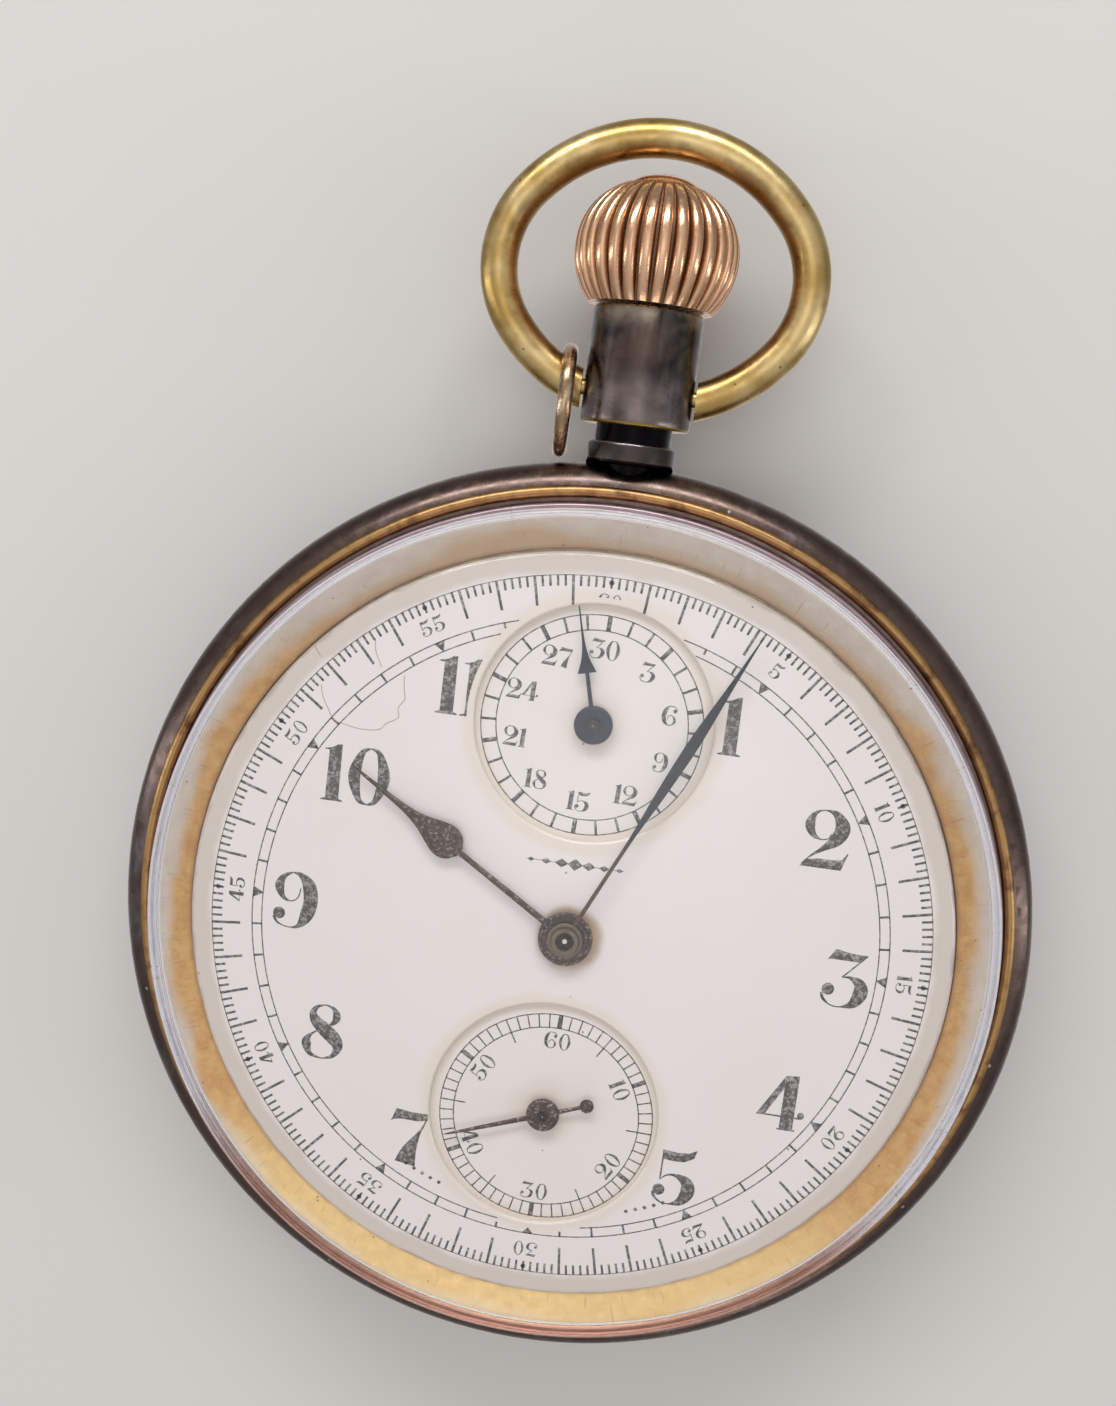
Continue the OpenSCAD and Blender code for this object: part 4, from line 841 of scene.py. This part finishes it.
# Digits, one unit high, as (width, parts). A part's points are a stroke's (x, y, width) or a block's corners
# (x, y), and a part that is no list is a ball (x, y, radius).
DIGITS = {
    "0": (0.72, [
        [(0.36, 0.99, 0.02), (0.21, 0.9, 0.1), (0.105, 0.5, 0.21), (0.21, 0.1, 0.1), (0.36, 0.01, 0.02)],
        [(0.36, 0.99, 0.02), (0.51, 0.9, 0.1), (0.615, 0.5, 0.21), (0.51, 0.1, 0.1), (0.36, 0.01, 0.02)],
    ]),
    "1": (0.38, [
        [(0.08, 0.02), (0.31, 0.02), (0.295, 1.0), (0.24, 0.985), (0.08, 0.9)],
        [(0.24, 0.985, 0.03), (0.14, 0.91, 0.05), (0.0, 0.895, 0.02)],
        [(0.0, 0.0), (0.38, 0.0), (0.38, 0.022), (0.31, 0.045), (0.08, 0.045), (0.0, 0.022)],
    ]),
    "2": (0.78, [
        [(0.46, 0.6, 0.018), (0.42, 0.52, 0.018), (0.3, 0.49, 0.02), (0.16, 0.56, 0.1), (0.085, 0.73, 0.165),
         (0.15, 0.92, 0.07), (0.31, 0.99, 0.02), (0.5, 0.94, 0.12), (0.63, 0.73, 0.25), (0.56, 0.52, 0.22),
         (0.36, 0.34, 0.09), (0.17, 0.19, 0.03), (0.04, 0.04, 0.02)],
        [(0.01, 0.0), (0.7, 0.0), (0.79, 0.3), (0.77, 0.3), (0.7, 0.19), (0.55, 0.16), (0.3, 0.16),
         (0.1, 0.12)],
    ]),
    "3": (0.79, [
        [(0.05, 0.8), (0.08, 0.82), (0.62, 0.82), (0.72, 0.95), (0.42, 0.96), (0.17, 1.0)],
        [(0.71, 0.945, 0.02), (0.34, 0.53, 0.025)],
        [(0.33, 0.53, 0.02), (0.48, 0.53, 0.06), (0.64, 0.44, 0.19), (0.675, 0.28, 0.245), (0.58, 0.09, 0.16),
         (0.4, 0.01, 0.03), (0.22, 0.01, 0.02), (0.07, 0.11, 0.05), (0.03, 0.22, 0.05)],
        (0.13, 0.29, 0.105),
    ]),
    "4": (0.82, [
        [(0.42, 0.02), (0.65, 0.02), (0.65, 1.0), (0.42, 0.98)],
        [(0.41, 0.96), (0.0, 0.235), (0.14, 0.24), (0.42, 0.76)],
        [(0.0, 0.23), (0.42, 0.23), (0.42, 0.258), (0.02, 0.258)],
        [(0.64, 0.23), (0.76, 0.23), (0.8, 0.26), (0.64, 0.26)],
        (0.76, 0.3, 0.06),
        [(0.38, 0.0), (0.69, 0.0), (0.69, 0.03), (0.38, 0.03)],
    ]),
    "5": (0.76, [
        [(0.11, 0.99), (0.36, 0.965), (0.56, 0.98), (0.7, 1.05), (0.66, 0.9), (0.5, 0.81), (0.32, 0.8),
         (0.11, 0.82)],
        [(0.125, 0.98, 0.03), (0.12, 0.44, 0.028)],
        [(0.115, 0.44, 0.02), (0.24, 0.535, 0.03), (0.4, 0.54, 0.07), (0.58, 0.44, 0.2), (0.62, 0.27, 0.245),
         (0.52, 0.09, 0.16), (0.34, 0.01, 0.03), (0.18, 0.02, 0.025), (0.05, 0.12, 0.05), (0.03, 0.22, 0.05)],
        (0.12, 0.25, 0.105),
    ]),
    "7": (0.7, [
        [(0.02, 0.75), (0.1, 1.0), (0.36, 0.965), (0.66, 0.965), (0.67, 0.86), (0.5, 0.81), (0.2, 0.82),
         (0.06, 0.79)],
        [(0.655, 0.88, 0.03), (0.6, 0.72, 0.03), (0.52, 0.55, 0.08), (0.4, 0.25, 0.26), (0.35, 0.0, 0.37)],
    ]),
    "8": (0.75, [
        [(0.38, 0.99, 0.02), (0.23, 0.94, 0.06), (0.16, 0.82, 0.12), (0.22, 0.68, 0.19), (0.4, 0.53, 0.25),
         (0.58, 0.38, 0.24), (0.645, 0.24, 0.17), (0.56, 0.07, 0.07), (0.37, 0.01, 0.02)],
        [(0.38, 0.99, 0.02), (0.52, 0.93, 0.07), (0.58, 0.8, 0.14), (0.54, 0.69, 0.09), (0.42, 0.6, 0.02),
         (0.2, 0.46, 0.03), (0.11, 0.36, 0.1), (0.09, 0.25, 0.165), (0.17, 0.07, 0.08), (0.37, 0.01, 0.02)],
    ]),
    "9": (0.78, [
        [(0.3, 0.99, 0.02), (0.15, 0.9, 0.09), (0.085, 0.73, 0.16), (0.16, 0.54, 0.08), (0.3, 0.475, 0.02),
         (0.42, 0.55, 0.018), (0.46, 0.72, 0.018)],
        [(0.3, 0.99, 0.02), (0.45, 0.95, 0.1), (0.6, 0.78, 0.23), (0.65, 0.5, 0.25), (0.59, 0.23, 0.22),
         (0.46, 0.04, 0.07), (0.28, 0.01, 0.02), (0.1, 0.07, 0.035), (0.03, 0.18, 0.05)],
        (0.12, 0.24, 0.105),
    ]),
}


def stroke_quads(points, weight, hair):
    """Four-sided faces along a stroke whose width follows its points."""
    line = smooth_curve(points, 6)
    left, right = [], []
    for i, (x, y, w) in enumerate(line):
        a, b = line[max(i - 1, 0)], line[min(i + 1, len(line) - 1)]
        dx, dy = b[0] - a[0], b[1] - a[1]
        size = hypot(dx, dy) or 1.0
        half = max(w * weight, hair) / 2
        left.append((x - dy / size * half, y + dx / size * half))
        right.append((x + dy / size * half, y - dx / size * half))
    return [[right[i], right[i + 1], left[i + 1], left[i]] for i in range(len(line) - 1)]


def digit(char, weight, hair):
    """Width, vertices and triangles of a digit, its strokes joined into one flat shape."""
    if char == "6":
        width, verts, faces = digit("9", weight, hair)
        return width, [(width - x, 1 - y) for x, y in verts], faces
    width, parts = DIGITS[char]
    loops = []
    for part in parts:
        if isinstance(part, tuple):
            loops.append(circle(part[2] * (0.6 + 0.4 * weight), part[:2], 20))
        elif len(part[0]) == 3:
            loops += stroke_quads(part, weight, hair)
        else:
            loops.append(part)
    points, faces = [], []
    for loop in loops:
        area = sum(a[0] * b[1] - b[0] * a[1] for a, b in zip(loop, loop[1:] + loop[:1]))
        loop = loop if area > 0 else loop[::-1]
        faces.append(list(range(len(points), len(points) + len(loop))))
        points += [Vector(p) for p in loop]
    made = geometry.delaunay_2d_cdt(points, [], faces, 0, 1e-5)
    return width, [tuple(v) for v in made[0]], [f for f, sources in zip(made[2], made[5]) if sources]


def clipped(verts, faces, keep):
    """The triangles that keep allows. Large ones and those on its border are split in four a few times."""
    verts, kept, rounds, largest = list(verts), [], 6, 0.8
    for _ in range(rounds):
        later = []
        for face in faces:
            sides = list(zip(face, face[1:] + face[:1]))
            allowed = sum(keep(*verts[i]) for i in face)
            longest = max(hypot(verts[a][0] - verts[b][0], verts[a][1] - verts[b][1]) for a, b in sides)
            if 0 < allowed < 3 or longest > largest:
                base = len(verts)
                verts += [((verts[a][0] + verts[b][0]) / 2, (verts[a][1] + verts[b][1]) / 2)
                          for a, b in sides]
                later += [[face[0], base, base + 2], [base, face[1], base + 1], [base + 2, base + 1, face[2]],
                          [base, base + 1, base + 2]]
            elif allowed:
                kept.append(face)
        faces = later
    return verts, kept


class Print:
    """Flat marks printed on a dial."""

    def __init__(self, centre, z, turn=0.0):
        self.centre, self.z, self.turn = Vector(centre), z, turn
        self.shape = Shape()

    def at(self, angle, r):
        """A point at a clock angle in degrees."""
        mid = radians(angle + self.turn)
        return self.centre.x + r * sin(mid), self.centre.y + r * cos(mid)

    def ring(self, r, width, start=0, stop=360):
        count = max(8, int(abs(stop - start) / 1.5))
        angles = [start + (stop - start) * i / count for i in range(count + 1)]
        verts = [self.at(a, r + s * width / 2) for a in angles for s in (-1, 1)]
        self.shape.flat(verts, [(2 * i, 2 * i + 2, 2 * i + 3, 2 * i + 1) for i in range(count)], self.z)

    def tick(self, angle, inner, outer, width, tip=None):
        """A straight mark. tip is its width at the inner end."""
        mid = radians(angle + self.turn)
        along, across = Vector((sin(mid), cos(mid))), Vector((cos(mid), -sin(mid)))
        corners = [(inner, -1, tip), (inner, 1, tip), (outer, 1, width), (outer, -1, width)]
        self.patch([self.centre + along * r + across * side * (width if w is None else w) / 2
                    for r, side, w in corners])

    def patch(self, corners):
        self.shape.flat(corners, [range(len(corners))], self.z)

    def dot(self, angle, r, size):
        self.patch(circle(size, self.at(angle, r), 16))

    def lozenge(self, x, y, half_w, half_h):
        self.patch([(x - half_w, y), (x, y - half_h), (x + half_w, y), (x, y + half_h)])

    def number(self, text, x, y, height, turn=0.0, weight=1.0, hair=0.02, gap=0.06, keep=None):
        """Digits centred on a point, turned clockwise. keep says whether a point of them is printed."""
        glyphs = [digit(char, weight, hair) for char in text]
        total = sum(width for width, _, _ in glyphs) + gap * (len(glyphs) - 1)
        pen = -total / 2
        c, s = cos(radians(turn + self.turn)), sin(radians(turn + self.turn))
        for width, verts, faces in glyphs:
            placed = []
            for gx, gy in verts:
                px, py = (gx + pen) * height, (gy - 0.5) * height
                placed.append((x + px * c + py * s, y - px * s + py * c))
            if keep:
                placed, faces = clipped(placed, faces, keep)
            self.shape.flat(placed, faces, self.z)
            pen += width + gap

    def finish(self, name, look=None, thickness=0.008):
        made = piece(name, self.shape, look or INK, "case", sharp=60)
        solid = made.modifiers.new("thickness", "SOLIDIFY")
        solid.thickness = thickness * MM
        solid.offset = 0
        return made


PRINT_LIFT = 0.002
LINE_W = 0.065


def clear_of_sunk_dials(x, y):
    return hypot(x - REGISTER.x, y - REGISTER.y) > 6.9 and hypot(x - SECONDS.x, y - SECONDS.y) > 6.8


def main_print():
    marks = Print((0, 0), DIAL_Z + PRINT_LIFT)
    track = 19.9
    inner, outer = 17.07, 17.62
    for r, start, stop in ((outer, 13.8, 344.6), (inner, 16.8, 170.2), (inner, 186.0, 341)):
        marks.ring(r, LINE_W, start, stop)
    for minute in range(60):
        angle = minute * 6
        clear_of_twelve = 13 < angle < 347
        if clear_of_twelve and minute % 5:
            low = inner if clear_of_sunk_dials(*marks.at(angle, inner)) else inner + 0.25
            marks.tick(angle, low, outer, 0.12)
        elif clear_of_twelve:
            marks.tick(angle, inner - 0.02 if minute != 30 else inner + 0.2, outer, 0.62, 0.02)
        if minute % 5:
            marks.tick(angle, 18.3, track, 0.145)
        else:
            marks.dot(angle, 19.62, 0.14)
        for fifth in range(5):
            if minute % 5 == 0 or fifth:
                marks.tick(angle + fifth * 1.2, 19.32, track, 0.125)
    marks.ring(track, 0.045)
    for second in range(5, 65, 5):
        x, y = marks.at(second * 6, 18.58)
        marks.number(str(second), x, y, 0.84, second * 6, 0.72, 0.05, 0.12, keep=clear_of_sunk_dials)
    height = 3.22
    numerals = {"1": (7.4, 12.85), "2": (13.25, 7.43), "3": (15.42, -0.13), "4": (13.05, -7.63),
                "5": (7.83, -12.98), "7": (-7.43, -12.98), "8": (-12.85, -7.53), "9": (-15.19, -0.17),
                "10": (-12.55, 7.36)}
    for text, (x, y) in numerals.items():
        marks.number(text, x, y, height)
    marks.number("11", -7.36, 13.03, height, gap=0.045, keep=clear_of_sunk_dials)
    # a small fleuron, and a sprig of lozenges on each side of the seconds dial
    for side in (-1, 1):
        for i, size in enumerate((0.24, 0.17, 0.12)):
            marks.lozenge(side * (0.75 + i * 0.85), 4.08, size * 1.6, size)
        for i in range(5):
            marks.lozenge(*marks.at(180 + side * (19.2 + 1.9 * i), 16.3), 0.13, 0.13)
    marks.lozenge(0, 4.08, 0.42, 0.34)
    line = [(-2.7, 4.065), (2.7, 4.065), (2.7, 4.095), (-2.7, 4.095)]
    marks.shape.flat(line, [(0, 1, 2, 3)], marks.z - 0.001)
    marks.finish("dial_print")


def register_print():
    marks = Print(REGISTER + Vector((-0.1, -0.12)), SUNK_Z + PRINT_LIFT, 2.5)
    inner, outer = 5.22, 6.05
    marks.ring(outer, LINE_W)
    marks.ring(inner, LINE_W)
    for minute in range(30):
        marks.tick(minute * 12, inner, outer, 0.135 if minute % 3 else 0.24)
    for minute in range(3, 33, 3):
        x, y = marks.at(minute * 12, 4.23)
        marks.number(str(minute), x, y, 1.08, weight=0.85, hair=0.04, gap=0.03)
    marks.finish("register_print")


def seconds_print():
    marks = Print(SECONDS + Vector((0.16, -0.24)), SUNK_Z + PRINT_LIFT, 1.4)
    inner, outer = 5.24, 6.02
    marks.ring(outer, LINE_W)
    marks.ring(inner, LINE_W)
    for second in range(60):
        long = second % 10 == 5
        marks.tick(second * 6, 4.6 if long else inner, outer, 0.075 if second % 10 else 0.26)
    for second, turn in ((60, 0), (10, 60), (20, -60), (30, 0), (40, 60), (50, -60)):
        x, y = marks.at(second * 6, 4.5)
        marks.number(str(second), x, y, 0.96, turn, 0.75, 0.045, 0.1)
    marks.finish("seconds_print")


def crack():
    """A hairline crack in the enamel that loops between 10 and 11."""
    marks = Print((0, 0), DIAL_Z + 0.001)
    loops = [
        [(-12.3, 15.0), (-12.2, 14.3), (-11.8, 13.5)],
        [(-10.5, 13.2), (-10.45, 12.5), (-10.35, 11.9), (-10.65, 11.4), (-10.6, 10.85), (-11.2, 10.45),
         (-11.6, 10.05), (-12.6, 9.95), (-13.5, 10.1), (-14.1, 10.25), (-14.5, 10.85), (-14.85, 11.5),
         (-15.0, 12.1)],
        [(-15.2, 13.65), (-15.6, 14.2)],
    ]
    for loop in loops:
        quads = stroke_quads([(x, y, 0.045) for x, y in loop], 1.0, 0.02)
        for quad in quads:
            marks.patch(quad)
    marks.finish("enamel_crack", thin_crack(), 0.004)


# ---------- hands ----------


def blade(shape, centre, angle, z, stations, thickness):
    """A crowned blade. A station is (distance from the centre, half width)."""
    turn = radians(angle)
    along, across = Vector((sin(turn), cos(turn))), Vector((cos(turn), -sin(turn)))
    section = [(-1, 0), (-1, 0.45), (-0.6, 0.85), (0, 1), (0.6, 0.85), (1, 0.45), (1, 0)]
    rings = []
    for distance, half in smooth_curve(stations, 6):
        at = centre + along * distance
        rings.append([(*(at + across * side * max(half, 0.02)), z + rise * thickness)
                      for side, rise in section])
    shape.rings(rings, caps=True)


def hour_hand():
    shape, angle = Shape(), -58
    stations = [(1.2, 0.18), (4.0, 0.17), (7.2, 0.16), (7.5, 0.3), (7.8, 0.7), (8.2, 0.93), (8.7, 0.95),
                (9.3, 0.76), (10.0, 0.48), (10.7, 0.3), (11.6, 0.19), (12.9, 0.13), (14.0, 0.09),
                (15.1, 0.05)]
    low, top = HOUR_HAND_Z
    blade(shape, Vector((0, 0)), angle, low, stations, 0.16)
    boss = [(1.0, low), (1.5, low), (1.5, top), (1.32, top), (1.26, top - 0.05), (1.0, top - 0.05)]
    lathe(rounded(boss, 0.04, 3), upright(), 96, shape=shape)
    piece("hour_hand_steel", shape, LOOKS["hand_steel"], "hour_hand", ["hour_hand"], sharp=40)


def minute_hand():
    shape, angle = Shape(), 25
    stations = [(0.85, 0.12), (3.5, 0.11), (6.5, 0.11), (8.0, 0.17), (9.8, 0.26), (12.4, 0.32), (14.0, 0.28),
                (16.5, 0.15), (18.4, 0.07), (19.6, 0.03)]
    low, top = MINUTE_HAND_Z
    blade(shape, Vector((0, 0)), angle, low, stations, 0.13)
    boss = [(0.76, low), (0.98, low), (0.98, top), (0.76, top)]
    lathe(rounded(boss, 0.05, 3), upright(), 96, shape=shape)
    piece("minute_hand_steel", shape, MINUTE_STEEL, "minute_hand", ["minute_hand"], sharp=40)


def register_hand():
    shape, angle = Shape(), -14
    blade(shape, REGISTER, angle, 9.25, [(0.8, 0.12), (2.6, 0.1), (3.35, 0.09)], 0.12)
    head = [(2.86, 0.48), (2.9, 0.5), (3.1, 0.41), (3.6, 0.23), (4.3, 0.1), (5.2, 0.055), (6.5, 0.03)]
    blade(shape, REGISTER, angle, 9.26, head, 0.13)
    hub = [(0.3, 9.12), (1.05, 9.12), (1.05, 9.42), (0.95, 9.5), (0.42, 9.5), (0.36, 9.44), (0.3, 9.44)]
    lathe(rounded(hub, 0.05, 3), upright(REGISTER), 96, shape=shape)
    piece("register_hand_steel", shape, LOOKS["blue_steel"], "recorder", ["register_hand"],
          sharp=40)


def seconds_hand():
    """A thin hand with a ball on its tail."""
    shape, angle = Shape(), 249.5
    stations = [(-2.3, 0.1), (-0.8, 0.13), (0.0, 0.16), (0.8, 0.15), (3.0, 0.12), (5.0, 0.07), (5.75, 0.03)]
    blade(shape, SECONDS, angle, 9.25, stations, 0.12)
    turn = radians(angle)
    ball = SECONDS - Vector((sin(turn), cos(turn))) * 2.55
    for place, r, low, high in ((ball, 0.4, 9.23, 9.42), (SECONDS, 0.93, 9.12, 9.5)):
        dome = [(0, low), (r - 0.05, low), (r, low + 0.05), (r, high - 0.14), (r * 0.93, high - 0.05),
                (r * 0.6, high), (0, high)]
        lathe(dome, upright(place), 64, closed=False, shape=shape)
    piece("seconds_hand_steel", shape, LOOKS["hand_steel"], "fourth_wheel", ["seconds_hand"],
          sharp=50)


for build in (rim_bead, bezel, crystal, pendant, collar, crown, button, bow, jump_ring, dial, main_print,
              register_print, seconds_print, crack, hour_hand, minute_hand, register_hand, seconds_hand):
    build()

# ---------- stage ----------


def floor():
    half = 900
    shape = Shape().flat([(-half, -half), (half, -half), (half, half), (-half, half)], [(0, 1, 2, 3)], -0.01)
    mesh = shape.mesh("floor")
    look = Look("pale_floor", roughness=0.75)
    look.set(base_color=look.mix(look.noise(0.02, 3.0), (214, 210, 205), (222, 219, 214)))
    look.bump(look.noise(1.2, 6.0), 0.1, 0.05)
    # only what the camera sees from above is solid, so the watch is lit from below as from a pale table
    from_above = look.math("SUBTRACT", 1.0, look.make("NewGeometry").outputs["Backfacing"])
    shown = look.times(look.make("LightPath").outputs["Is Camera Ray"], from_above)
    look.blend(shown, look.make("BsdfTransparent").outputs[0], look.shader.outputs[0])
    mesh.materials.append(look.material)
    placed("floor", mesh)


def softbox(name, place, size, radiance, colour=(1, 1, 1), aim=(0, 5, 8)):
    light = bpy.data.lights.new(name, "AREA")
    light.shape = "RECTANGLE"
    light.size, light.size_y = size[0] * MM, size[1] * MM
    light.energy = radiance * pi * size[0] * size[1] * MM * MM
    light.color = colour
    made = placed(name, light)
    made.location = Vector(place) * MM
    made.rotation_euler = (Vector(aim) - Vector(place)).to_track_quat("-Z", "Y").to_euler()


def world():
    """A pale room that is brightest straight overhead, dims towards the horizon, and is soft grey below."""
    made = bpy.data.worlds.new("studio")
    scene.world = made
    made.use_nodes = True
    nodes, links = made.node_tree.nodes, made.node_tree.links
    split = nodes.new("ShaderNodeSeparateXYZ")
    links.new(nodes.new("ShaderNodeTexCoord").outputs["Generated"], split.inputs[0])
    height = nodes.new("ShaderNodeMapRange")
    height.inputs["From Min"].default_value = -1.0
    links.new(split.outputs[2], height.inputs["Value"])
    ramp = nodes.new("ShaderNodeValToRGB")
    links.new(height.outputs[0], ramp.inputs[0])
    stops = ((0.0, 0.75), (0.2, 0.4), (0.4, 0.26), (0.5, 0.26), (0.75, 0.46), (0.93, 0.6), (0.97, 0.78),
             (0.9875, 0.98), (1.0, 1.45))
    for place, level in stops[1:-1]:
        ramp.color_ramp.elements.new(place)
    for stop, (place, level) in zip(ramp.color_ramp.elements, stops):
        stop.position, stop.color = place, (level, level * 0.985, level * 0.99, 1)
    links.new(ramp.outputs[0], nodes["Background"].inputs["Color"])


def camera():
    """Stands where the photographer stood: over the upper half of the watch, close, turned a little."""
    data = bpy.data.cameras.new("camera")
    data.sensor_width = 36
    data.lens = 38.4
    data.clip_start, data.clip_end = 0.002, 10
    made = placed("camera", data)
    right = Vector((0.989168, 0.123898, -0.078716))
    down = Vector((0.134154, -0.980705, 0.142196))
    ahead = Vector((-0.059579, -0.151216, -0.986704))
    made.matrix_world = Matrix.Translation(Vector((2.778, 25.119, 89.447)) * MM) @ Matrix(
        (right, -down, -ahead)).transposed().to_4x4()
    scene.camera = made


floor()
world()
softbox("key_window", (-50, 300, 200), (360, 80), 8.0, (0.95, 0.97, 1.0))
softbox("low_front", (40, -400, 150), (420, 100), 1.6, (1.0, 0.95, 0.92))
softbox("left_strip", (-340, -10, 100), (40, 300), 4.0, (0.88, 0.93, 1.0))
softbox("right_strip", (340, -30, 100), (40, 300), 4.0, (0.88, 0.93, 1.0))
camera()
scene.view_settings.view_transform = "Standard"

bpy.context.view_layer.update()
